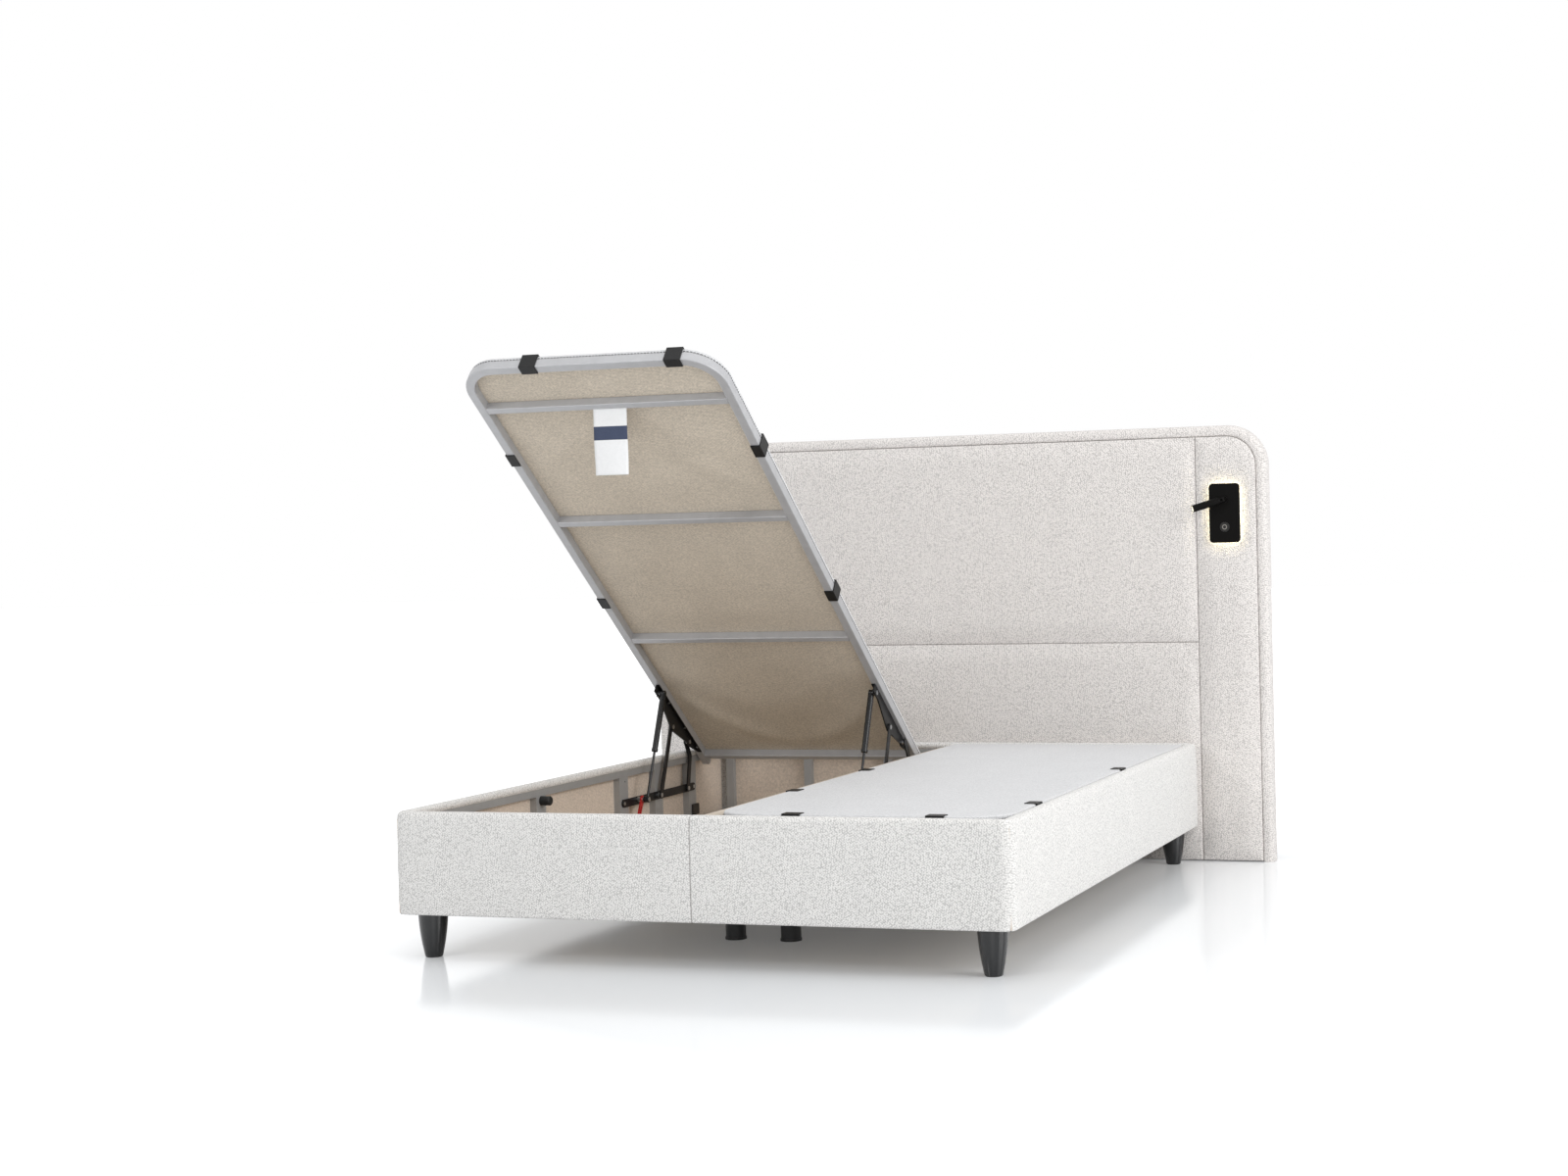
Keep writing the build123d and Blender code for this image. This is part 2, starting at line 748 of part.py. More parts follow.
with BuildPart() as mount_bolts:
    lining_face = bed_length - skin - lining
    places = ((-mount_bolt_x, mount_bolt_height), (mount_bolt_x, mount_bolt_height))
    with BuildSketch(facing_foot(board_back)):
        with Locations(*places):
            Circle(bolt_radius)
    extrude(amount=board_back - lining_face)
    with BuildSketch(facing_foot(lining_face)):
        with Locations(*places):
            Circle(mount_washer_radius)
    extrude(amount=mount_washer_thickness)
    with BuildSketch(facing_foot(lining_face - mount_washer_thickness)):
        with Locations(*places):
            RegularPolygon(bolt_head_radius, 6)
    extrude(amount=bolt_head_height)
keep("headboard_bolts", mount_bolts)

# Reading lamps
plate_back = board_front - light_guide_thickness
plate_front = plate_back - lamp_plate_thickness
lamp_places = [(side * lamp_x, lamp_z) for side in (-1, 1)]
button_places = [(side * lamp_x, lamp_z - button_drop) for side in (-1, 1)]
swivel_places = [(side * lamp_x, lamp_z + lamp_pivot_rise) for side in (-1, 1)]

with BuildPart() as lamp_boxes:
    with BuildSketch(facing_foot(board_front + lamp_box_depth)):
        with Locations(*lamp_places):
            Rectangle(lamp_box_width, lamp_box_height)
    extrude(amount=lamp_box_depth)
keep("lamp_back_boxes", lamp_boxes)

with BuildPart() as light_guides:
    with BuildSketch(facing_foot(board_front)):
        with Locations(*lamp_places):
            RectangleRounded(
                lamp_plate_width - 2 * light_guide_inset,
                lamp_plate_height - 2 * light_guide_inset,
                lamp_plate_radius - light_guide_inset,
            )
    extrude(amount=light_guide_thickness)
keep("lamp_light_guides", light_guides)

with BuildPart() as face_plates:
    with BuildSketch(facing_foot(plate_back)):
        with Locations(*lamp_places):
            RectangleRounded(lamp_plate_width, lamp_plate_height, lamp_plate_radius)
    extrude(amount=lamp_plate_thickness)
    for plate in face_plates.solids():
        chamfer(plate.faces().sort_by(Axis.Y)[0].outer_wire().edges(), lamp_plate_edge)
    with BuildSketch(facing_foot(plate_front)):
        with Locations(*button_places):
            Circle(button_radius + button_gap)
    extrude(amount=-button_pocket, mode=Mode.SUBTRACT)
    with BuildSketch(facing_foot(plate_front)):
        with Locations(*swivel_places):
            Circle(swivel_stub_radius + pin_clearance)
    extrude(amount=-(swivel_stub_length + side_clearance), mode=Mode.SUBTRACT)
keep("lamp_face_plates", face_plates)

for side in (-1, 1):
    name = side_names[side]
    with BuildPart() as button:
        with BuildSketch(facing_foot(plate_front - button_proud + button_thickness)):
            with Locations((side * lamp_x, lamp_z - button_drop)):
                Circle(button_radius)
        extrude(amount=button_thickness)
        chamfer(button.faces().sort_by(Axis.Y)[0].outer_wire().edges(), button_edge)
    keep(f"{name}_lamp_button", button)

    pivot = Vector(
        side * lamp_x, along(plate_front - lamp_pivot_height), lamp_z + lamp_pivot_rise
    )
    sweep_dir = Vector(-side * cos(radians(lamp_sweep)), 0, -sin(radians(lamp_sweep)))
    tilt_axis = Vector(0, 1, 0).cross(sweep_dir)
    lamp_dir = sweep_dir * cos(radians(lamp_lift)) + Vector(0, -1, 0) * sin(radians(lamp_lift))
    lug_plane = Plane(pivot, x_dir=sweep_dir, z_dir=tilt_axis)

    with BuildPart() as swivel:
        base_front = plate_front - side_clearance
        with BuildSketch(facing_foot(base_front)):
            with Locations((side * lamp_x, lamp_z + lamp_pivot_rise)):
                Circle(swivel_radius)
        extrude(amount=swivel_thickness)
        with BuildSketch(facing_foot(base_front)):
            with Locations((side * lamp_x, lamp_z + lamp_pivot_rise)):
                Circle(swivel_stub_radius)
        extrude(amount=-(swivel_stub_length + side_clearance / 2))
        lug_reach = lamp_pivot_height - side_clearance - swivel_thickness / 2
        with BuildSketch(lug_plane):
            Circle(lug_radius)
            with Locations((0, -lug_reach / 2)):
                Rectangle(2 * lug_radius, lug_reach)
            Circle(lug_pin_radius + pin_clearance, mode=Mode.SUBTRACT)
        extrude(amount=lug_thickness / 2, both=True)
    keep(f"{name}_lamp_swivel", swivel)

    head_plane = Plane(pivot, x_dir=lamp_dir, z_dir=tilt_axis)
    barrel_plane = Plane(pivot, x_dir=tilt_axis, z_dir=lamp_dir)
    with BuildPart() as lamp_head:
        inner = lug_thickness / 2 + side_clearance
        with BuildSketch(head_plane.offset(inner)):
            Circle(cheek_radius)
            with Locations((head_start / 2, 0)):
                Rectangle(head_start, 2 * cheek_radius)
        extrude(amount=cheek_thickness)
        with BuildSketch(head_plane.offset(-inner)):
            Circle(cheek_radius)
            with Locations((head_start / 2, 0)):
                Rectangle(head_start, 2 * cheek_radius)
        extrude(amount=-cheek_thickness)
        with BuildSketch(head_plane.offset(-inner)):
            Circle(lug_pin_radius)
        extrude(amount=2 * inner)
        with BuildSketch(barrel_plane.offset(head_start - head_neck_length / 2)):
            Circle(head_neck_radius)
        with BuildSketch(barrel_plane.offset(head_start + head_neck_length / 2)):
            Circle(head_radius)
        loft()
        with BuildSketch(barrel_plane.offset(head_start + head_neck_length / 2)):
            Circle(head_radius)
        extrude(amount=head_length)
        with BuildSketch(barrel_plane.offset(head_start + head_neck_length / 2 + head_length)):
            Circle(lens_radius)
        extrude(amount=-(lens_depth + lens_recess), mode=Mode.SUBTRACT)
    keep(f"{name}_lamp_head", lamp_head)

    with BuildPart() as lens:
        lens_place = head_start + head_neck_length / 2 + head_length - lens_recess
        with BuildSketch(barrel_plane.offset(lens_place)):
            Circle(lens_radius)
        extrude(amount=-lens_depth)
    keep(f"{name}_lamp_lens", lens)


# Lids
def lid_plane_of(side):
    """Plane on the bottom of a lid's tubes: local x is X, local y points to the head."""
    (head_distance, height), tilt = poses[side]
    up = (0, sin(radians(tilt)), cos(radians(tilt)))
    return Plane((side * box_centre, along(head_distance), height), x_dir=(1, 0, 0), z_dir=up)


def lid_outline(inset):
    """Lid outline inset by inset on its sides and foot end, with two rounded corners at the foot."""
    half, end = lid_reach - inset, lid_length - inset
    with BuildSketch(Plane.XY) as outline:
        with BuildLine():
            FilletPolyline(
                (half, 0), (half, -end), (-half, -end), (-half, 0), radius=lid_corner_radius - inset
            )
            Line((-half, 0), (half, 0))
        make_face()
    return outline.sketch


lid_outer = lid_outline(0)
lid_inner = lid_outline(lid_tube)
lid_core_outer = lid_outline(tube_wall)
lid_core_inner = lid_outline(lid_tube - tube_wall)
lid_panel_outline = lid_outline(lid_panel_inset)


def make_lid_frame(plane):
    """One square tube bent round the two foot corners, open at both ends."""
    with BuildPart() as frame:
        with BuildSketch(plane):
            add(lid_outer)
            add(lid_inner, mode=Mode.SUBTRACT)
        extrude(amount=lid_tube)
        with BuildSketch(plane.offset(tube_wall)):
            add(lid_core_outer)
            add(lid_core_inner, mode=Mode.SUBTRACT)
        extrude(amount=lid_tube - 2 * tube_wall, mode=Mode.SUBTRACT)
        flat_faces = frame.faces().filter_by(plane).sort_by(Axis(plane.origin, plane.z_dir))
        long_edges = [
            edge
            for face in (flat_faces[0], flat_faces[-1])
            for edge in face.outer_wire().edges()
            if edge.length > lid_tube + tube_wall
        ]
        fillet(long_edges, lid_tube_edge_radius)
    return frame


def make_cross_tubes(plane):
    """Straight tubes between the two legs of the bent tube."""
    with BuildPart() as tubes:
        reach = lid_reach - lid_tube
        across = Plane(
            plane.from_local_coords((-reach, 0, 0)), x_dir=plane.y_dir, z_dir=plane.x_dir
        )
        with BuildSketch(across):
            with Locations(*[(-d - cross_tube / 2, lid_tube / 2) for d in cross_tube_distances]):
                RectangleRounded(cross_tube, lid_tube, cross_tube_edge_radius)
                Rectangle(
                    cross_tube - 2 * tube_wall, lid_tube - 2 * tube_wall, mode=Mode.SUBTRACT
                )
        extrude(amount=2 * reach)
    return tubes


def make_lid_panel(plane, foot_shares, left_shares, right_shares):
    """Upholstered board, pressed in a little under each clip."""
    with BuildPart() as panel:
        with BuildSketch(plane.offset(lid_tube)):
            add(lid_panel_outline)
        extrude(amount=lid_panel_thickness)
        fillet(
            panel.faces().sort_by(Axis(plane.origin, plane.z_dir))[-1].outer_wire().edges(),
            lid_panel_edge_radius,
        )
        pocket = 2 * (clip_tongue + clip_pocket_gap)
        pocket_length = clip_length + 2 * clip_pocket_gap
        with BuildSketch(plane.offset(lid_thickness)):
            with Locations(*[(share * lid_width, -lid_length) for share in foot_shares]):
                Rectangle(pocket_length, pocket)
            with Locations(*[(-lid_reach, -share * lid_length) for share in left_shares]):
                Rectangle(pocket, pocket_length)
            with Locations(*[(lid_reach, -share * lid_length) for share in right_shares]):
                Rectangle(pocket, pocket_length)
        extrude(amount=-clip_sink, mode=Mode.SUBTRACT)
    return panel


# Section of a clip round the lid's edge: x points out of the lid from its edge, and y is the height
# above the tube's bottom
clip_seat = lid_thickness - clip_sink
clip_points = (
    (-clip_tongue, clip_seat),
    (-clip_tongue, clip_seat + clip_thickness),
    (clip_thickness, clip_seat + clip_thickness),
    (clip_thickness, -clip_thickness),
    (-lid_tube, -clip_thickness),
    (-lid_tube, 0),
    (0, 0),
    (0, clip_seat),
)
with BuildSketch(Plane.XY) as clip_section:
    Polygon(*clip_points, align=None)
    fillet(clip_section.vertices().group_by(Axis.X)[-1], clip_edge_radius)


def make_clips(plane, foot_shares, left_shares, right_shares):
    with BuildPart() as clips:
        half = clip_length / 2
        for share in foot_shares:
            origin = plane.from_local_coords((share * lid_width - half, -lid_length, 0))
            with BuildSketch(Plane(origin, x_dir=-plane.y_dir, z_dir=-plane.x_dir)):
                add(clip_section.sketch)
            extrude(amount=-clip_length)
        for share in left_shares:
            origin = plane.from_local_coords((-lid_reach, -share * lid_length - half, 0))
            with BuildSketch(Plane(origin, x_dir=-plane.x_dir, z_dir=plane.y_dir)):
                add(clip_section.sketch)
            extrude(amount=clip_length)
        for share in right_shares:
            origin = plane.from_local_coords((lid_reach, -share * lid_length - half, 0))
            with BuildSketch(Plane(origin, x_dir=plane.x_dir, z_dir=-plane.y_dir)):
                add(clip_section.sketch)
            extrude(amount=-clip_length)
    return clips


# Lift linkages. Layers are counted from the wall's inner face towards the middle of a half base.
def layer_plane(side, hand, layer):
    """Side plane at a layer of the linkage on one wall of one half base, facing +X."""
    return side_plane(side * box_centre + hand * (box_reach - layer))


def inward(hand, amount):
    """Extrusion length that runs from a wall towards the middle of a half base."""
    return -hand * amount


hands = (-1, 1)


def link_outline(points, end_radius):
    """Flat link through its points in a side plane, with a round eye at each end."""
    with BuildSketch(Plane.XY) as outline:
        with BuildLine():
            Polyline(*points)
        trace(line_width=link_width)
        with Locations(*points):
            Circle(link_width / 2)
        with Locations(points[0], points[-1]):
            Circle(end_radius)
    return outline.sketch


hole_radius = pin_radius + pin_clearance
with BuildPart() as base_bars:
    for side in (-1, 1):
        for hand in hands:
            with BuildSketch(layer_plane(side, hand, 0)):
                with Locations(((bar_front + bar_rear) / 2, bar_height)):
                    SlotOverall(bar_rear - bar_front, base_bar_height)
                with Locations(front_pivot, rear_pivot, strut_foot):
                    Circle(hole_radius, mode=Mode.SUBTRACT)
            extrude(amount=inward(hand, link_thickness))
keep("lift_base_bars", base_bars)

strut_inner = strut_layer - strut_collar_radius
strut_outer = strut_layer + strut_eye_reach
front_arm_end = arm_layer_front + link_thickness
rear_arm_end = arm_layer_rear + link_thickness
bracket_end = bracket_layer + link_thickness

# Shoulder bolts of the wall side: each step runs from one layer to another with its own radius
def bolt_step(radius):
    """Section of a bolt's step: a hexagon at its heads, and round elsewhere."""
    if radius == pin_head_radius:
        RegularPolygon(radius, 6)
    else:
        Circle(radius)


base_pin_steps = [
    (
        place,
        (
            (0, end + side_clearance, pin_radius),
            (link_thickness, start - side_clearance, pin_shoulder_radius),
            (end + side_clearance, end + side_clearance + pin_head_height, pin_head_radius),
        ),
    )
    for place, start, end in (
        (front_pivot, arm_layer_front, front_arm_end),
        (rear_pivot, arm_layer_rear, rear_arm_end),
        (strut_foot, strut_inner, strut_outer),
    )
]
with BuildPart() as base_pins:
    for side in (-1, 1):
        for hand in hands:
            for place, steps in base_pin_steps:
                for start, end, radius in steps:
                    with BuildSketch(layer_plane(side, hand, start)):
                        with Locations(place):
                            bolt_step(radius)
                    extrude(amount=inward(hand, end - start))
keep("lift_base_pins", base_pins)

# Safety catch: a forked hook that hangs on the strut's foot pin
with BuildPart() as catches:
    catch_end = strut_inner - side_clearance - link_thickness
    catch_start = catch_end - link_thickness
    catch_run = (catch_length * cos(radians(catch_tilt)), catch_length * sin(radians(catch_tilt)))
    middle, tip, beyond = [
        (strut_foot[0] + share * catch_run[0], strut_foot[1] + share * catch_run[1])
        for share in (0.5, 1.0, 2.0)
    ]
    for side in (-1, 1):
        for hand in hands:
            with BuildSketch(layer_plane(side, hand, catch_start)):
                with BuildLine():
                    Line(strut_foot, tip)
                trace(line_width=2 * catch_width)
                with Locations(strut_foot):
                    Circle(catch_ring_radius)
                with Locations(tip):
                    Circle(catch_width)
                with BuildLine():
                    Line(middle, beyond)
                trace(line_width=catch_slot, mode=Mode.SUBTRACT)
                with Locations(strut_foot):
                    Circle(pin_shoulder_radius + pin_clearance, mode=Mode.SUBTRACT)
            extrude(amount=inward(hand, link_thickness))
keep("safety_catches", catches)

for side in (-1, 1):
    name = side_names[side]
    plane = lid_plane_of(side)
    head_end, tilt = poses[side]
    front_joint = on_lid(head_end, tilt, lid_front_joint, lid_front_joint_drop)
    rear_joint = on_lid(head_end, tilt, lid_rear_joint, lid_rear_joint_drop)
    strut_head = on_lid(head_end, tilt, strut_head_joint, strut_head_drop)

    keep(f"{name}_lid_frame", make_lid_frame(plane))
    keep(f"{name}_lid_cross_tubes", make_cross_tubes(plane))
    if side < 0:
        clip_places = (left_lid_foot_clip_shares, left_lid_left_clip_shares, left_lid_right_clip_shares)
    else:
        clip_places = (
            right_lid_foot_clip_shares,
            right_lid_left_clip_shares,
            right_lid_right_clip_shares,
        )
    keep(f"{name}_lid_panel", make_lid_panel(plane, *clip_places))
    keep(f"{name}_lid_clips", make_clips(plane, *clip_places))

    with BuildPart() as brackets:
        for hand in hands:
            layer_x = hand * (box_reach - bracket_layer)
            web_plane = Plane(
                plane.from_local_coords((layer_x, 0, 0)), x_dir=plane.y_dir, z_dir=plane.x_dir
            )
            lobe_places = (
                (-lid_front_joint, -lid_front_joint_drop),
                (-lid_rear_joint, -lid_rear_joint_drop),
                (-strut_head_joint, -strut_head_drop),
            )
            top_drop = strut_head_drop + bracket_web_margin
            deep_drop = lid_front_joint_drop + bracket_web_margin
            shallow_drop = lid_rear_joint_drop + bracket_web_margin
            with BuildSketch(web_plane) as web:
                with BuildLine():
                    Polyline(
                        (-bracket_front_end, 0),
                        (-bracket_rear_end, 0),
                        (-bracket_rear_end, -bracket_flange_thickness),
                        (-lid_rear_joint + bracket_web_margin, -shallow_drop),
                        (-lid_rear_joint - bracket_web_margin, -shallow_drop),
                        (-lid_front_joint + bracket_web_margin, -deep_drop),
                        (-lid_front_joint - bracket_web_margin, -deep_drop),
                        (-strut_head_joint + 2 * bracket_web_margin, -top_drop),
                        (-bracket_front_end, -top_drop),
                        close=True,
                    )
                make_face()
                fillet(web.vertices().group_by(Axis.Y)[0], bracket_corner_radius)
                with Locations(*lobe_places):
                    Circle(bracket_lobe_radius)
                with Locations(lobe_places[0]):
                    Circle(hole_radius, mode=Mode.SUBTRACT)
            extrude(amount=inward(hand, link_thickness))
            with BuildSketch(web_plane):
                with Locations(
                    (-(bracket_front_end + bracket_rear_end) / 2, -bracket_flange_thickness / 2)
                ):
                    Rectangle(bracket_front_end - bracket_rear_end, bracket_flange_thickness)
            extrude(amount=inward(hand, bracket_flange))
    keep(f"{name}_lift_brackets", brackets)

    # Pins, studs and screws of the lid's brackets. The rear arm and the strut meet a stud's end face.
    lid_pin_steps = (
        (
            front_joint,
            (
                (arm_layer_front - side_clearance, bracket_end, pin_radius),
                (front_arm_end + side_clearance, bracket_layer, pin_shoulder_radius),
                (bracket_end, bracket_end + pin_head_height, pin_head_radius),
                (
                    arm_layer_front - side_clearance - pin_head_height,
                    arm_layer_front - side_clearance,
                    pin_head_radius,
                ),
            ),
        ),
        (
            rear_joint,
            (
                (rear_arm_end + side_clearance, bracket_layer, pin_shoulder_radius),
                (bracket_end, bracket_end + pin_head_height, pin_head_radius),
            ),
        ),
        (
            strut_head,
            (
                (bracket_end, strut_inner - side_clearance, pin_shoulder_radius),
                (bracket_layer - pin_head_height, bracket_layer, pin_head_radius),
            ),
        ),
    )
    with BuildPart() as lid_pins:
        for hand in hands:
            for place, steps in lid_pin_steps:
                for start, end, radius in steps:
                    with BuildSketch(layer_plane(side, hand, start)):
                        with Locations(place):
                            bolt_step(radius)
                    extrude(amount=inward(hand, end - start))
        screw_x = box_reach - bracket_layer - (link_thickness + bracket_flange) / 2
        screw_distances = [
            bracket_rear_end + share * (bracket_front_end - bracket_rear_end)
            for share in bracket_screw_shares
        ]
        with BuildSketch(plane.offset(-bracket_flange_thickness)):
            with Locations(*[(hand * screw_x, -d) for hand in hands for d in screw_distances]):
                RegularPolygon(screw_head_radius, 6)
        extrude(amount=-screw_head_height)
    keep(f"{name}_bracket_pins", lid_pins)

    front_arm_outline = link_outline((front_pivot, front_joint), link_eye_radius)
    with BuildPart() as front_arms:
        for hand in hands:
            with BuildSketch(layer_plane(side, hand, arm_layer_front)):
                add(front_arm_outline)
                with Locations(front_pivot, front_joint):
                    Circle(hole_radius, mode=Mode.SUBTRACT)
            extrude(amount=inward(hand, link_thickness))
    keep(f"{name}_front_arms", front_arms)

    reach = gap_between(rear_pivot, rear_joint)
    unit = ((rear_joint[0] - rear_pivot[0]) / reach, (rear_joint[1] - rear_pivot[1]) / reach)
    knee = (
        rear_pivot[0] + unit[0] * reach * crank_share + unit[1] * crank_offset,
        rear_pivot[1] + unit[1] * reach * crank_share - unit[0] * crank_offset,
    )
    rear_arm_outline = link_outline((rear_pivot, knee, rear_joint), link_eye_radius)
    with BuildPart() as rear_arms:
        for hand in hands:
            with BuildSketch(layer_plane(side, hand, arm_layer_rear)):
                add(rear_arm_outline)
                with Locations(rear_pivot):
                    Circle(hole_radius, mode=Mode.SUBTRACT)
            extrude(amount=inward(hand, link_thickness))
    keep(f"{name}_rear_arms", rear_arms)

    strut_angle = radians(direction(strut_foot, strut_head))
    strut_axis = Vector(0, cos(strut_angle), sin(strut_angle))
    with BuildPart() as rods:
        for hand in hands:
            with BuildSketch(layer_plane(side, hand, strut_inner)):
                with Locations(strut_foot):
                    Circle(strut_eye_radius)
            extrude(amount=inward(hand, strut_outer - strut_inner))
            centre = layer_plane(side, hand, strut_layer).from_local_coords((*strut_foot, 0))
            with BuildSketch(Plane(centre, x_dir=(1, 0, 0), z_dir=strut_axis)):
                Circle(strut_rod_radius)
            extrude(amount=strut_rod_length)
            with BuildSketch(layer_plane(side, hand, strut_inner)):
                with Locations(strut_foot):
                    Circle(hole_radius)
            extrude(amount=inward(hand, strut_outer - strut_inner), mode=Mode.SUBTRACT)
    keep(f"{name}_strut_rods", rods)

    with BuildPart() as cylinders:
        for hand in hands:
            head = layer_plane(side, hand, strut_layer).from_local_coords((*strut_head, 0))
            down = Plane(head, x_dir=(1, 0, 0), z_dir=-strut_axis)
            with BuildSketch(down):
                Circle(strut_radius)
            extrude(amount=strut_length)
            with BuildSketch(down.offset(strut_length - strut_collar_length)):
                Circle(strut_collar_radius)
            extrude(amount=strut_collar_length)
            with BuildSketch(down.offset(strut_length)):
                Circle(strut_rod_radius + strut_bore_clearance)
            extrude(amount=-(strut_length - strut_bore_end), mode=Mode.SUBTRACT)
            with BuildSketch(layer_plane(side, hand, strut_inner)):
                with Locations(strut_head):
                    Circle(strut_eye_radius)
            extrude(amount=inward(hand, strut_outer - strut_inner))
    keep(f"{name}_strut_cylinders", cylinders)

os.makedirs("parts", exist_ok=True)
for name, part in finished.items():
    export_step(part, f"parts/{name}.step")
print(len(finished), "nodes")
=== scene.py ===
import math
import bpy
from mathutils import Matrix, Vector, noise

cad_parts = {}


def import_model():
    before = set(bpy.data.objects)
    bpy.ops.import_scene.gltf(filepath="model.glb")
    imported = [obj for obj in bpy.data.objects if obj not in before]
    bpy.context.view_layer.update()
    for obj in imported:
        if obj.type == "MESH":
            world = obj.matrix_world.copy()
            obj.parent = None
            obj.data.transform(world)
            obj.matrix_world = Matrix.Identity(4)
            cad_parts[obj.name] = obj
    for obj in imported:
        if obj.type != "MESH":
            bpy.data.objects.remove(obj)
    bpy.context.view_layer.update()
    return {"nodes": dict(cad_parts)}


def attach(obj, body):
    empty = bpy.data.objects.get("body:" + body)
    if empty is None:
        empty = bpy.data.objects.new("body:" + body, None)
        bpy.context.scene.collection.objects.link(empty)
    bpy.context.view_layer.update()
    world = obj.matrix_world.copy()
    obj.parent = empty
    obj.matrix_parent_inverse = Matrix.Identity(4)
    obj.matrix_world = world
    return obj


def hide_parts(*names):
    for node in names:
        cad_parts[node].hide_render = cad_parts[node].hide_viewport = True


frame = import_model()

SIDE_NAMES = {-1: "left", 1: "right"}
WHITE = (1.0, 1.0, 1.0, 1.0)
MM = 0.001

# Base, in millimetres, apart from FOOT, which is the foot face's Y in metres
FOOT = -1.050
HALF = 800.0
LENGTH = 2000.0
WALL = 30.0
BOX_CENTRE = 396.5

# Lids, in millimetres. The ends are the head end's distance from the foot face and its height,
# the cross tubes start that far from the head end, and the last two are heights on the lid.
LID_HALF = 368.0
LID_LENGTH = 1887.0
LID_INSET = 1.8
LID_CORNER = 104.0
OPEN_TILT = math.radians(37.93)
OPEN_END = (1775.1003, 314.2603)
CLOSED_END = (1941.6, 329.0)
CROSS_TUBES = (30.19, 666.11, 1228.44, 1711.51)
LID_TUBE = 25.0
LID_TOP = 38.0

# Headboard, in millimetres
HEAD_HALF = 1028.0
HEAD_HEIGHT = 1344.0
HEAD_CORNER = 125.0
PAD_BACK = 2082.0
PAD_DEPTH = 69.0
PAD_CORNER = 91.0
PAD_FOOT, PAD_TOP, PAD_SIDE = 3.0, 1309.8, 994.2
WIDE_PAD_SIDE, SIDE_PAD_START = 807.2, 807.6
LOWER_PAD_TOP, UPPER_PAD_FOOT = 677.4, 677.8

# Lamps, in millimetres: places are X on either side of the bed and height
LAMP_PLACE = (899.5, 1074.0)
LAMP_HALF = (47.5, 91.0)
BUTTON_PLACE = (899.53, 1031.0)


# Helpers
def world(x, d, z):
    """Point in metres from X, the distance from the foot face and the height, in millimetres."""
    return Vector((x * MM, FOOT + d * MM, z * MM))


def mesh_piece(name, verts, faces, materials, face_materials=None):
    mesh = bpy.data.meshes.new(name)
    mesh.from_pydata([tuple(v) for v in verts], [], faces)
    mesh.validate()
    mesh.update()
    for material in materials:
        mesh.materials.append(material)
    for index, polygon in enumerate(mesh.polygons):
        polygon.use_smooth = True
        if face_materials:
            polygon.material_index = face_materials[index]
    piece = bpy.data.objects.new(name, mesh)
    bpy.context.scene.collection.objects.link(piece)
    return piece


def apply_modifiers(piece):
    graph = bpy.context.evaluated_depsgraph_get()
    mesh = bpy.data.meshes.new_from_object(piece.evaluated_get(graph))
    old = piece.data
    piece.modifiers.clear()
    piece.data = mesh
    bpy.data.meshes.remove(old)


def wobble(point, size, amount):
    return noise.noise(point / size) * amount


def quarter(centre, start, end, count):
    """Points of a quarter turn about centre, from centre + start to centre + end."""
    points = []
    for k in range(count):
        a = math.radians(90 * k / (count - 1))
        c, s = math.cos(a), math.sin(a)
        x = centre[0] + start[0] * c + end[0] * s
        y = centre[1] + start[1] * c + end[1] * s
        points.append((x, y))
    return points


def straight(start, stop, step):
    """Places from start to stop, about step apart."""
    count = max(1, round(abs(stop - start) / step))
    return [start + (stop - start) * k / count for k in range(count + 1)]


def tube_faces(first, rings, count, flip=False):
    """Faces of a tube with shut ends, whose rings of count points start at vertex first."""
    faces = []
    for ring in range(rings - 1):
        for k in range(count):
            a, b = first + ring * count + k, first + ring * count + (k + 1) % count
            faces.append((a, b, b + count, a + count))
    start = tuple(range(first, first + count))
    end = tuple(index + (rings - 1) * count for index in start)
    faces += [start[::-1], end]
    return [face[::-1] for face in faces] if flip else faces


def rounding(d, radius):
    """How far a rounded edge has dropped at depth d inside the outline."""
    t = max(0.0, radius - d)
    return radius - math.sqrt(max(0.0, radius * radius - t * t))


# Materials
def linear(value):
    value /= 255.0
    return value / 12.92 if value <= 0.04045 else ((value + 0.055) / 1.055) ** 2.4


def rgb(r, g, b):
    return (linear(r), linear(g), linear(b), 1.0)


def scaled(colour, factor):
    return tuple(channel * factor for channel in colour[:3]) + (1.0,)


class Nodes:
    """Small helpers for a node tree."""

    def __init__(self, tree):
        self.tree = tree

    def node(self, kind, **values):
        node = self.tree.nodes.new(kind)
        for key, value in values.items():
            if key in node.inputs:
                node.inputs[key].default_value = value
            else:
                setattr(node, key, value)
        return node

    def link(self, a, b):
        self.tree.links.new(a, b)

    def math(self, operation, a, b=0.0):
        node = self.node("ShaderNodeMath", operation=operation)
        for slot, value in enumerate((a, b)):
            if isinstance(value, (int, float)):
                node.inputs[slot].default_value = value
            else:
                self.link(value, node.inputs[slot])
        return node.outputs[0]

    def seen_by(self, *rays):
        """1 for a ray of one of these kinds, else 0."""
        path = self.node("ShaderNodeLightPath")
        value = path.outputs[rays[0]]
        for ray in rays[1:]:
            value = self.math("MAXIMUM", value, path.outputs[ray])
        return value


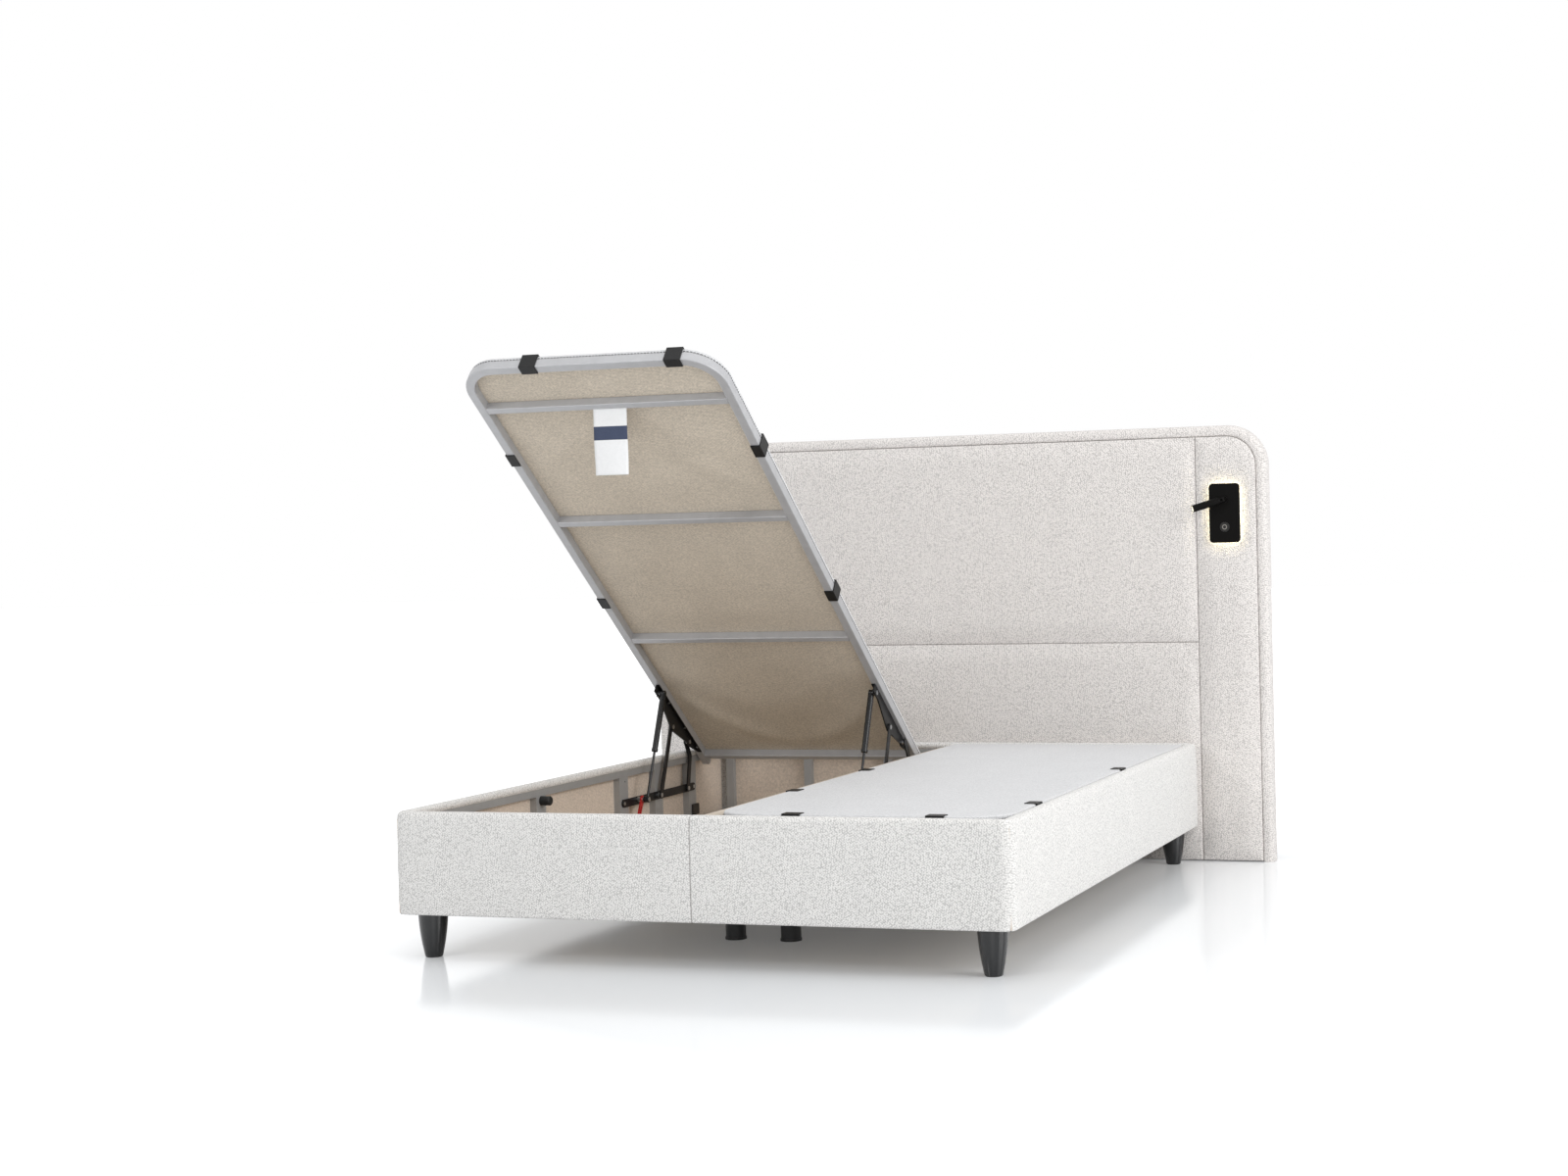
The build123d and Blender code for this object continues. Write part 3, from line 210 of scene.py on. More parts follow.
class Shader(Nodes):
    """A Principled material with small helpers for its nodes."""

    def __init__(self, name, colour, rough, metallic=0.0):
        self.material = bpy.data.materials.new(name)
        self.material.use_nodes = True
        super().__init__(self.material.node_tree)
        self.shader = self.tree.nodes["Principled BSDF"]
        self.set("Base Color", colour).set("Roughness", rough).set("Metallic", metallic)
        self.coordinates = self.node("ShaderNodeTexCoord").outputs["Object"]

    def set(self, socket, value):
        self.shader.inputs[socket].default_value = value
        return self

    def texture(self, kind, vector=None, **values):
        node = self.node(kind, **values)
        self.link(vector or self.coordinates, node.inputs["Vector"])
        return node

    def noise(self, scale, detail=2.0, rough=0.5, vector=None):
        kind = "ShaderNodeTexNoise"
        node = self.texture(kind, vector, Scale=scale, Detail=detail, Roughness=rough)
        return node.outputs["Fac"]

    def mapped(self, **values):
        """Object coordinates that are turned, moved or scaled."""
        return self.texture("ShaderNodeMapping", **values).outputs["Vector"]

    def warped(self, scale, amount):
        """Object coordinates pushed about by noise, so that a regular pattern turns irregular."""
        field = self.texture("ShaderNodeTexNoise", Scale=scale, Detail=1.0)
        centred = self.node("ShaderNodeVectorMath", operation="SUBTRACT")
        centred.inputs[1].default_value = (0.5, 0.5, 0.5)
        self.link(field.outputs["Color"], centred.inputs[0])
        push = self.node("ShaderNodeVectorMath", operation="SCALE", Scale=amount)
        self.link(centred.outputs[0], push.inputs[0])
        total = self.node("ShaderNodeVectorMath", operation="ADD")
        self.link(self.coordinates, total.inputs[0])
        self.link(push.outputs[0], total.inputs[1])
        return total.outputs[0]

    def ramp(self, value, stops):
        node = self.node("ShaderNodeValToRGB")
        elements = node.color_ramp.elements
        while len(elements) < len(stops):
            elements.new(0.5)
        for element, (place, colour) in zip(elements, stops):
            element.position = place
            element.color = colour
        self.link(value, node.inputs["Fac"])
        return node.outputs["Color"]

    def shade(self, value, colour, low, high):
        """The colour, dark where the value is low and pale where it is high.

        low and high are each a value and the factor that the colour has there.
        """
        stops = [(place, scaled(colour, factor)) for place, factor in (low, high)]
        return self.ramp(value, stops)

    def colour(self, value):
        self.link(value, self.shader.inputs["Base Color"])

    def clouded(self, value, scale, darkest):
        """Base colour from value, a little darker in slow soft patches."""
        cloud = self.noise(scale)
        tint = self.ramp(cloud, [(0.3, darkest), (0.7, WHITE)])
        node = self.node("ShaderNodeMix", data_type="RGBA", blend_type="MULTIPLY")
        factor, first, second = (node.inputs[index] for index in (0, 6, 7))
        factor.default_value = 1.0
        self.link(value, first)
        self.link(tint, second)
        self.colour(node.outputs[2])

    def rough(self, value, low, high):
        values = {"To Min": low, "To Max": high}
        node = self.node("ShaderNodeMapRange", **values)
        self.link(value, node.inputs["Value"])
        self.link(node.outputs["Result"], self.shader.inputs["Roughness"])

    def bump(self, height, distance):
        node = self.node("ShaderNodeBump", Distance=distance, Strength=1.0)
        self.link(height, node.inputs["Height"])
        self.link(node.outputs["Normal"], self.shader.inputs["Normal"])


def boucle(name, colour, loop=0.0042, depth=0.0011):
    """Looped cloth: small rounded curls, painted shade in the pits between them, a painted
    highlight on their tops, and a faint cloudiness.

    Its coordinates are turned away from all three axes, so that flat faces don't cut the curls
    along a grid.
    """
    s = Shader(name, colour, 0.95)
    s.set("Sheen Weight", 0.12).set("Sheen Roughness", 0.6).set("Specular IOR Level", 0.12)
    s.coordinates = s.mapped(Rotation=(0.61, 0.43, 0.87))
    warp = s.warped(1.1 / loop, loop * 0.25)
    kind = "ShaderNodeTexVoronoi"
    curls = s.texture(kind, warp, Scale=1.0 / loop, Randomness=0.55, feature="F1")
    from_curl = curls.outputs["Distance"]
    fine = s.noise(3.0 / loop, detail=2.0, rough=0.6)
    height = s.math("ADD", s.math("SUBTRACT", 1.0, from_curl), s.math("MULTIPLY", fine, 0.5))
    # Painted shade and highlight: the colour is darkened in the pits between curls and made paler
    # on each curl's top.
    stops = [(0.1, 1.10), (0.42, 1.0), (0.70, 0.66)]
    painted_pit_shade_and_curl_highlight = s.ramp(from_curl, [(place, scaled(colour, factor)) for place, factor in stops])
    s.clouded(painted_pit_shade_and_curl_highlight, 16.0, (0.98, 0.98, 0.982, 1.0))
    s.bump(height, depth)
    return s.material


def woven(name, colour, thread=0.0020, depth=0.0003, contrast=0.10, cloudy=0.05, axes="XYZ"):
    """Plain weave: threads that cross along the named axes, each a little uneven.

    A wave is about two threads long, which is the Scale of wave_scale / thread.
    """
    wave_scale = 0.5 / 3.14
    s = Shader(name, colour, 0.9)
    s.set("Sheen Weight", 0.05).set("Specular IOR Level", 0.2)
    warp = s.warped(90.0, 0.0006)
    weave = 0.0
    for axis in axes:
        wave = s.texture("ShaderNodeTexWave", warp, Scale=wave_scale / thread, Distortion=0.6)
        wave.bands_direction = axis
        weave = s.math("ADD", weave, wave.outputs["Fac"])
    weave = s.math("MULTIPLY", weave, 1.0 / len(axes))
    slub = s.noise(175.0, detail=4.0, rough=0.7)
    value = s.math("ADD", s.math("MULTIPLY", weave, 0.3), s.math("MULTIPLY", slub, 0.7))
    threads = s.shade(value, colour, (0.38, 1.0 - contrast), (0.62, 1.0 + contrast * 0.5))
    s.clouded(threads, 9.0, scaled(WHITE, 1.0 - cloudy))
    s.bump(value, depth)
    return s.material


def coated(name, colour, rough=0.42, metallic=0.0, grain=1400.0, depth=0.00008, gloss=0.5):
    """Painted or moulded surface with a fine orange peel and slight changes of gloss."""
    s = Shader(name, colour, rough, metallic)
    s.set("Specular IOR Level", gloss)
    patch = s.noise(35.0, detail=3.0, rough=0.6)
    s.colour(s.shade(patch, colour, (0.25, 0.93), (0.75, 1.05)))
    s.rough(patch, rough - 0.06, rough + 0.07)
    s.bump(s.noise(grain), depth)
    return s.material


def brushed(name, colour, rough):
    """Bright metal with fine lines along X."""
    s = Shader(name, colour, rough, 1.0)
    lines = s.noise(60.0, detail=4.0, rough=0.7, vector=s.mapped(Scale=(1.0, 30.0, 30.0)))
    s.colour(s.shade(lines, colour, (0.2, 0.86), (0.8, 1.08)))
    s.rough(lines, rough - 0.08, rough + 0.1)
    s.bump(lines, 0.00003)
    return s.material


def ringed(name, colour, ring, centre):
    """Dark metal button with a pale printed ring round its centre, on either side of the bed."""
    ramp_reach = 0.02
    s = Shader(name, colour, 0.34, 0.6)
    parts = s.node("ShaderNodeSeparateXYZ")
    s.link(s.coordinates, parts.inputs[0])
    across = s.math("SUBTRACT", s.math("ABSOLUTE", parts.outputs["X"]), centre[0] * MM)
    up = s.math("SUBTRACT", parts.outputs["Z"], centre[1] * MM)
    squares = s.math("ADD", s.math("MULTIPLY", across, across), s.math("MULTIPLY", up, up))
    out = s.math("MULTIPLY", s.math("SQRT", squares), 1.0 / ramp_reach)
    stops = [(0.0, colour), (0.24, colour), (0.28, ring)]
    stops += [(0.36, ring), (0.40, colour), (1.0, colour)]
    s.colour(s.ramp(out, stops))
    s.bump(s.noise(1500.0), 0.00004)
    return s.material


def lacquered_wood(name, colour):
    """Wood stained nearly black, with its grain upright under a clear lacquer."""
    s = Shader(name, colour, 0.34)
    s.set("Coat Weight", 1.0).set("Coat Roughness", 0.05).set("Specular IOR Level", 0.1)
    grain = s.noise(38.0, detail=5.0, rough=0.65, vector=s.mapped(Scale=(9.0, 9.0, 0.8)))
    s.colour(s.shade(grain, colour, (0.25, 0.75), (0.75, 1.2)))
    s.rough(grain, 0.28, 0.4)
    s.bump(grain, 0.00012)
    return s.material


def lit(name, colour, rough, light, strength, grain, detail, depth):
    """Frosted plastic that gives light, with a slightly uneven face."""
    s = Shader(name, colour, rough)
    s.set("Emission Color", light).set("Emission Strength", strength)
    s.bump(s.noise(grain, detail), depth)
    return s.material


BOUCLE_BASE = boucle("boucle_base", rgb(231, 229, 226))
BOUCLE_HEAD = boucle("boucle_headboard", rgb(229, 224, 220), loop=0.0047)
CAP_CLOTH = woven("cap_cloth", rgb(205, 193, 178))
LINING = woven("lining_cloth", rgb(212, 197, 182), contrast=0.24)
UNDERSIDE_CLOTH = woven(
    "lid_underside_cloth", rgb(218, 206, 189), contrast=0.3, cloudy=0.07, axes="XY"
)
FLOOR_CLOTH = woven("floor_cloth", rgb(190, 174, 152), contrast=0.12)
LID_CLOTH = woven(
    "lid_top_cloth", rgb(214, 214, 215),
    thread=0.0016, depth=0.0002, contrast=0.2, cloudy=0.03, axes="XY",
)
# Dark hem thread; its dark colour also stands in for the seam's shadow at the lid's edge, as
# painted shadow.
THREAD_AND_SEAM_SHADOW = woven(
    "hem_thread_and_painted_seam_shadow", rgb(70, 70, 72), thread=0.0008, depth=0.0001, contrast=0.3, cloudy=0.0
)
BACK_CLOTH = woven("back_cloth", rgb(66, 66, 69), thread=0.0022, contrast=0.16, axes="XZ")
TAG_CLOTH = woven(
    "tag_cloth", rgb(240, 240, 240), thread=0.0007, depth=0.00005, contrast=0.03, cloudy=0.0
)
TAG_BAND = woven(
    "tag_band", rgb(74, 82, 104), thread=0.0007, depth=0.00005, contrast=0.05, cloudy=0.0
)
TUBE_GREY = coated("tube_grey", rgb(180, 180, 182), 0.34, 0.15, depth=0.00004)
FRAME_GREY = coated("frame_grey", rgb(160, 160, 160), 0.42, 0.3, depth=0.00005)
LIFT_BLACK = coated("lift_black", rgb(22, 22, 23), 0.36, gloss=0.25)
STRUT_BLACK = coated("strut_black", rgb(20, 20, 21), 0.26, gloss=0.35)
ROD_BLACK = coated(
    "rod_black", rgb(30, 30, 32), 0.22, 0.2, grain=600.0, depth=0.00003, gloss=0.4
)
ZINC = brushed("zinc_steel", rgb(195, 197, 200), 0.3)
CLIP_PLASTIC = coated(
    "clip_plastic", rgb(22, 22, 23), 0.42, grain=900.0, depth=0.00012, gloss=0.25
)
RUBBER = coated("buffer_rubber", rgb(18, 18, 18), 0.6, grain=700.0, depth=0.00015)
COVER_PLASTIC = coated("cover_plastic", rgb(40, 36, 33), 0.5)
CATCH_RED = coated("catch_red", rgb(176, 30, 28), 0.35)
FOOT_LACQUER = lacquered_wood("foot_lacquer", rgb(13, 14, 16))
FOOT_PLASTIC = coated("centre_foot_plastic", rgb(34, 35, 37), 0.45)
LAMP_BLACK = coated("lamp_black", rgb(14, 13, 12), 0.45, gloss=0.06)
BUTTON_METAL = ringed("button_metal", rgb(40, 39, 38), rgb(128, 124, 118), BUTTON_PLACE)
LAMP_GLOW = lit(
    "lamp_glow", (1.0, 0.86, 0.62, 1.0), 0.5,
    light=(1.0, 0.91, 0.60, 1.0), strength=11.0, grain=60.0, detail=1.0, depth=0.0001,
)
LAMP_LENS = lit(
    "lamp_lens", (0.60, 0.56, 0.48, 1.0), 0.25,
    light=(1.0, 0.90, 0.66, 1.0), strength=1.5, grain=900.0, detail=2.0, depth=0.0002,
)

node_materials = {
    "headboard_back_board": BACK_CLOTH,
    "headboard_spacers": FRAME_GREY,
    "headboard_bolts": ZINC,
    "lamp_back_boxes": LAMP_BLACK,
    "lamp_light_guides": LAMP_GLOW,
    "lamp_face_plates": LAMP_BLACK,
    "wall_linings": LINING,
    "floor_boards": FLOOR_CLOTH,
    "top_rails": FRAME_GREY,
    "bottom_rails": FRAME_GREY,
    "side_wall_posts": FRAME_GREY,
    "end_wall_posts": FRAME_GREY,
    "floor_bearers": FRAME_GREY,
    "foot_plates": LIFT_BLACK,
    "corner_feet": FOOT_LACQUER,
    "centre_feet": FOOT_PLASTIC,
    "rest_buffers": RUBBER,
    "joint_covers": COVER_PLASTIC,
    "frame_bolts": ZINC,
    "lift_base_bars": LIFT_BLACK,
    "lift_base_pins": ZINC,
    "safety_catches": CATCH_RED,
}
side_materials = {
    "lid_frame": TUBE_GREY,
    "lid_cross_tubes": TUBE_GREY,
    "lid_clips": CLIP_PLASTIC,
    "lift_brackets": LIFT_BLACK,
    "bracket_pins": ZINC,
    "front_arms": LIFT_BLACK,
    "rear_arms": LIFT_BLACK,
    "strut_rods": ROD_BLACK,
    "strut_cylinders": STRUT_BLACK,
    "lamp_button": BUTTON_METAL,
    "lamp_swivel": LAMP_BLACK,
    "lamp_head": LAMP_BLACK,
    "lamp_lens": LAMP_LENS,
}
for side_name in SIDE_NAMES.values():
    for node, material in side_materials.items():
        node_materials[f"{side_name}_{node}"] = material
for node, material in node_materials.items():
    for slot in frame["nodes"][node].material_slots:
        slot.material = material


# Padded slabs
def edge_lines(low, high, step):
    """Grid lines from low to high, close together near both ends."""
    near = [0.0, 0.6, 1.8, 3.4, 5.4, 8.0, 11.5, 16.0, 22.0]
    near = [v for v in near if v < (high - low) * 0.4]
    start, end = low + near[-1], high - near[-1]
    count = max(2, round((end - start) / step))
    middle = [start + (end - start) * k / count for k in range(1, count)]
    return [low + v for v in near] + middle + [high - v for v in reversed(near)]


def in_corner(x, y, box, corner, radius):
    """Centre of a rounded corner, and how far out of it the point lies on each axis."""
    x0, x1, y0, y1 = box
    sx, sy = corner
    cx = x1 - radius if sx > 0 else x0 + radius
    cy = y1 - radius if sy > 0 else y0 + radius
    return cx, cy, (x - cx) * sx, (y - cy) * sy


def corner_warp(x, y, box, radii):
    """Moves a grid point of a sharp rectangle into a rectangle with rounded corners."""
    for corner, radius in radii.items():
        cx, cy, a, b = in_corner(x, y, box, corner, radius)
        a, b = a / radius, b / radius
        if a > 0 and b > 0:
            a, b = a * math.sqrt(1 - b * b / 2), b * math.sqrt(1 - a * a / 2)
            return cx + a * corner[0] * radius, cy + b * corner[1] * radius
    return x, y


def depth_in(x, y, box, radii):
    """How far a point lies inside a rectangle with rounded corners."""
    for corner, radius in radii.items():
        _, _, a, b = in_corner(x, y, box, corner, radius)
        if a > 0 and b > 0:
            return radius - math.hypot(a, b)
    x0, x1, y0, y1 = box
    return min(x - x0, x1 - x, y - y0, y1 - y)


def slab(name, box, step, top, bottom, place, radii, material):
    """Closed slab over a rectangle. top and bottom give heights from the depth inside it.

    radii holds the radius of each rounded corner, under the signs of its x and y.
    """
    x0, x1, y0, y1 = box
    xs, ys = edge_lines(x0, x1, step), edge_lines(y0, y1, step)
    nx, ny = len(xs), len(ys)
    verts, faces = [], []
    for level in (top, bottom):
        for y in ys:
            for x in xs:
                px, py = corner_warp(x, y, box, radii)
                d = max(0.0, depth_in(px, py, box, radii))
                verts.append(place(px, py, level(d, px, py)))
    total = nx * ny
    for j in range(ny - 1):
        for i in range(nx - 1):
            a = j * nx + i
            faces.append((a, a + 1, a + nx + 1, a + nx))
            faces.append((total + a, total + a + nx, total + a + nx + 1, total + a + 1))
    rim = list(range(nx))
    rim += [j * nx + nx - 1 for j in range(1, ny)]
    rim += [(ny - 1) * nx + i for i in range(nx - 2, -1, -1)]
    rim += [j * nx for j in range(ny - 2, 0, -1)]
    for a, b in zip(rim, rim[1:] + rim[:1]):
        faces.append((b, a, total + a, total + b))
    return mesh_piece(name, verts, faces, (material,))


# Base covers
def wall_section():
    """Section of a wall's cover: how far in from the outer face, and the height."""
    section = [(8.0, 112.0), (6.0, 111.6)]
    section += quarter((6.0, 117.6), (0.0, -6.0), (-6.0, 0.0), 5)
    section += [(-0.9, 140.0), (-1.5, 170.0), (-1.9, 205.0), (-2.0, 240.0)]
    section += [(-1.9, 275.0), (-1.5, 310.0), (-0.8, 338.0)]
    section += quarter((13.0, 354.4), (-13.0, 0.0), (0.0, 13.0), 7)
    section += [(17.0, 367.8), (21.0, 367.4)]
    section += quarter((22.0, 359.2), (0.0, 8.0), (8.0, 0.0), 5)
    section += [(30.0, 348.2), (19.0, 348.2), (8.0, 348.2)]
    return section


def wall_stations(corner, seam_gap):
    """Where the wall section stands, from the seam at the foot round to the seam at the head.

    Each station is a place, the section's direction, the distance from the seam between the
    halves, and whether it turns. At a turn the place is the corner's centre and the direction
    points out, and elsewhere the place is on the outer face and the direction points in.
    """
    far = 99.0
    turns = 8
    near_seam = [0.0, 0.5, 1.4, 2.8, 4.6, 7.0, 12.0]
    end_xs = [seam_gap + v for v in near_seam] + straight(40.0, HALF - corner, 34.0)[:-1]
    side_ys = straight(corner, LENGTH - corner, 36.0)[1:-1]

    def turn(centre_y, start):
        angles = [math.radians(start + 90 * k / turns) for k in range(turns + 1)]
        return [((HALF - corner, centre_y), (math.cos(a), math.sin(a)), far, True) for a in angles]

    stations = [((x, 0.0), (0.0, 1.0), x - seam_gap, False) for x in end_xs]
    stations += turn(corner, -90)
    stations += [((HALF, y), (-1.0, 0.0), far, False) for y in side_ys]
    stations += turn(LENGTH - corner, 0)
    stations += [((x, LENGTH), (0.0, -1.0), x - seam_gap, False) for x in reversed(end_xs)]
    return stations


def base_covers():
    """Looped cloth drawn over the foot, outer side and head walls of both half bases."""
    corner = 31.0
    seam_round = 5.0
    outer_depth = 8.0
    hem_top = 118.0
    cap_foot, cap_height = 348.5, 19.0
    uneven_depth, uneven_foot, uneven_top = 7.0, 120.0, 360.0
    section = wall_section()
    stations = wall_stations(corner, seam_gap=0.3)
    verts, faces = [], []
    for side in SIDE_NAMES:
        faces += tube_faces(len(verts), len(stations), len(section), flip=side < 0)
        for base, direction, to_seam, turning in stations:
            drop = rounding(to_seam, seam_round)
            for w, z in section:
                if w < outer_depth:
                    w += drop * (1 - max(w, 0.0) / outer_depth)
                if z > cap_foot:
                    z -= drop * (z - cap_foot) / cap_height
                elif z < hem_top:
                    z += drop * 0.5
                reach = corner - w if turning else w
                x, y = base[0] + direction[0] * reach, base[1] + direction[1] * reach
                if w < uneven_depth and uneven_foot < z < uneven_top:
                    point = Vector((side * x, y, z))
                    push = wobble(point, 150.0, 0.7) + wobble(point, 45.0, 0.25)
                    push = push if turning else -push
                    x += direction[0] * push
                    y += direction[1] * push
                verts.append(world(side * x, y, z))
    piece = mesh_piece("base_covers", verts, faces, (BOUCLE_BASE,))
    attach(piece, "bed")
    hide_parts("foot_panels", "side_panels", "head_panels")


def centre_cap_covers():
    """Lining cloth folded over the top of the two inner walls."""
    section = quarter((5.0, 350.0), (-4.0, 0.0), (0.0, 4.0), 5)
    section += [(12.0, 354.3)]
    section += quarter((18.6, 350.0), (0.0, 4.0), (4.4, 0.0), 5)
    section += [(23.0, 348.2), (1.0, 348.2)]
    end_gap = 0.3
    uneven_foot = 350.5
    steps = 48
    verts, faces = [], []
    for side in SIDE_NAMES:
        faces += tube_faces(len(verts), steps + 1, len(section), flip=side > 0)
        for k in range(steps + 1):
            d = WALL + end_gap + (LENGTH - 2 * WALL - 2 * end_gap) * k / steps
            for x, z in section:
                lift = wobble(Vector((x, d, z)), 60.0, 0.4) if z > uneven_foot else 0.0
                verts.append(world(side * x, d, z + lift))
    piece = mesh_piece("centre_cap_covers", verts, faces, (CAP_CLOTH,))
    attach(piece, "bed")
    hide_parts("centre_caps")


base_covers()
centre_cap_covers()


# Headboard
def head_place(x, z, h):
    """A pad point: h is how far it stands in front of the pad's back."""
    return world(x, PAD_BACK - h, z)


def inflate(piece, pinned, pressure, cap, frames):
    """Swells a cloth shell under pressure with its pinned points held, and caps each move."""
    group = piece.vertex_groups.new(name="pin")
    group.add(pinned, 1.0, "REPLACE")
    start = [v.co.copy() for v in piece.data.vertices]
    modifier = piece.modifiers.new("Cloth", "CLOTH")
    cloth = modifier.settings
    cloth.quality = 4
    cloth.mass = 0.3
    cloth.tension_stiffness = 25
    cloth.compression_stiffness = 25
    cloth.shear_stiffness = 12
    cloth.bending_stiffness = 0.6
    cloth.use_pressure = True
    cloth.uniform_pressure_force = pressure
    cloth.vertex_group_mass = "pin"
    cloth.effector_weights.gravity = 0.0
    cloth.shrink_min = -0.004
    modifier.collision_settings.use_collision = False
    modifier.point_cache.frame_start = 1
    modifier.point_cache.frame_end = frames
    scene = bpy.context.scene
    for number in range(1, frames + 1):
        scene.frame_set(number)
    graph = bpy.context.evaluated_depsgraph_get()
    ends = [v.co.copy() for v in piece.evaluated_get(graph).data.vertices]
    piece.modifiers.remove(modifier)
    piece.vertex_groups.clear()
    for vertex, a, b in zip(piece.data.vertices, start, ends):
        step = b - a
        if step.length > cap:
            step *= cap / step.length
        vertex.co = a + step
    scene.frame_set(1)


def lamp_hold(x, z):
    """1 under a lamp's plate, where the pad is pressed flat, falling to 0 round it."""
    pressed_rim, fall = 4.0, 30.0
    out = math.hypot(
        max(0.0, abs(abs(x) - LAMP_PLACE[0]) - LAMP_HALF[0]),
        max(0.0, abs(z - LAMP_PLACE[1]) - LAMP_HALF[1]),
    )
    t = min(1.0, max(0.0, (out - pressed_rim) / fall))
    return 1.0 - t * t * (3.0 - 2.0 * t)


def pad(name, node, box, radii):
    """Foam pad under looped cloth: tight, with round edges that sink into the seams."""
    step, edge_round, crown_height, pressed_depth = 15.0, 7.0, 2.2, 68.6
    held_back, held_edge, held_lamp = 60.0, 2.0, 0.3
    x0, x1, z0, z1 = box
    half_x, half_z = (x1 - x0) / 2, (z1 - z0) / 2

    def front(d, x, z):
        u, v = (x - x0 - half_x) / half_x, (z - z0 - half_z) / half_z
        crown = crown_height * (1 - abs(u) ** 6) * (1 - abs(v) ** 6)
        full = PAD_DEPTH + crown - rounding(d, edge_round)
        full += wobble(Vector((x, z, 7.0)), 190.0, 0.5)
        held = lamp_hold(x, z)
        return full * (1.0 - held) + pressed_depth * held

    def back(d, x, z):
        return 0.0

    piece = slab(name, box, step, front, back, head_place, radii, BOUCLE_HEAD)
    pinned = []
    for vertex in piece.data.vertices:
        x, z = vertex.co.x / MM, vertex.co.z / MM
        behind = vertex.co.y > FOOT + (PAD_BACK - held_back) * MM
        at_edge = max(0.0, depth_in(x, z, box, radii)) < held_edge
        if behind or at_edge or lamp_hold(x, z) > held_lamp:
            pinned.append(vertex.index)
    inflate(piece, pinned, pressure=3.0, cap=0.006, frames=16)
    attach(piece, "bed")
    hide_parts(node)


def border_cover():
    """Padded border of the headboard, bent round its two top corners."""
    section = [(33.2, PAD_BACK), (33.2, 2026.0)]
    section += quarter((26.2, 2021.5), (7.0, 0.0), (0.0, -6.0), 5)
    section += quarter((19.0, 2034.0), (0.0, -18.5), (-18.0, 0.0), 8)
    section += [(-0.6, 2045.0), (-0.8, 2056.0), (0.0, 2068.0), (2.0, 2077.0), (5.0, PAD_BACK)]
    pitch, turns, top_steps = 30.0, 16, 56
    uneven_depth = 30.0
    top_of_side = HEAD_HEIGHT - HEAD_CORNER
    inner = HEAD_HALF - HEAD_CORNER
    rise = [0.0, 1.0, 3.0] + [pitch * k for k in range(1, int(top_of_side / pitch))]
    rise.append(top_of_side)

    def turn(centre_x, start):
        places = []
        for k in range(1, turns):
            a = math.radians(start - 90 * k / turns)
            c, s = math.cos(a), math.sin(a)
            place = (centre_x + HEAD_CORNER * c, top_of_side + HEAD_CORNER * s)
            places.append((place, (-c, -s)))
        return places

    stations = [((-HEAD_HALF, z), (1.0, 0.0)) for z in rise]
    stations += turn(-inner, 180)
    for k in range(top_steps + 1):
        stations.append(((-inner + 2 * inner * k / top_steps, HEAD_HEIGHT), (0.0, -1.0)))
    stations += turn(inner, 90)
    stations += [((HEAD_HALF, z), (-1.0, 0.0)) for z in reversed(rise)]
    verts = []
    for (x, z), (dx, dz) in stations:
        for w, y in section:
            push = wobble(Vector((x, z, y)), 140.0, 0.5) if 0.0 < w < uneven_depth else 0.0
            verts.append(world(x + dx * w, y - push, z + dz * w))
    faces = tube_faces(0, len(stations), len(section))
    piece = mesh_piece("border_cover", verts, faces, (BOUCLE_HEAD,))
    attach(piece, "bed")
    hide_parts("headboard_border")


pad(
    "upper_pad_cover", "headboard_upper_pad",
    (-WIDE_PAD_SIDE, WIDE_PAD_SIDE, UPPER_PAD_FOOT, PAD_TOP), {},
)
pad(
    "lower_pad_cover", "headboard_lower_pad",
    (-WIDE_PAD_SIDE, WIDE_PAD_SIDE, PAD_FOOT, LOWER_PAD_TOP), {},
)
pad(
    "left_pad_cover", "headboard_left_pad",
    (-PAD_SIDE, -SIDE_PAD_START, PAD_FOOT, PAD_TOP), {(-1, 1): PAD_CORNER},
)
pad(
    "right_pad_cover", "headboard_right_pad",
    (SIDE_PAD_START, PAD_SIDE, PAD_FOOT, PAD_TOP), {(1, 1): PAD_CORNER},
)
border_cover()


# Lids
def lid_place(side):
    """Lid frame to world: local x is X, y points to the head, z goes up from the tubes' bottom."""
    (d, z), tilt = (OPEN_END, OPEN_TILT) if side < 0 else (CLOSED_END, 0.0)
    c, s = math.cos(tilt), math.sin(tilt)
    turn = Matrix(((1, 0, 0), (0, c, s), (0, -s, c)))
    origin = world(side * BOX_CENTRE, d, z)

    def place(x, y, h):
        return origin + turn @ Vector((x * MM, y * MM, h * MM))

    return place


def lid_cover(side):
    """Padded cloth over the top and edges of a lid's panel."""
    name = SIDE_NAMES[side]
    step, head_gap = 26.0, 0.5
    foot, top_round, foot_round = 27.0, 4.5, 3.2
    even_rim = 60.0
    half, length = LID_HALF - LID_INSET, LID_LENGTH - LID_INSET
    corners = {(-1, -1): LID_CORNER, (1, -1): LID_CORNER}

    def top(d, x, y):
        soft = wobble(Vector((x, y, 3.0 + side)), 240.0, 0.5) * min(1.0, d / even_rim)
        return LID_TOP - rounding(d, top_round) + soft

    def bottom(d, x, y):
        return foot + rounding(d, foot_round)

    piece = slab(
        f"{name}_lid_cover", (-half, half, -length, -head_gap), step, top, bottom,
        lid_place(side), corners, LID_CLOTH,
    )
    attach(piece, f"{name}_lid")
    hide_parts(f"{name}_lid_panel")


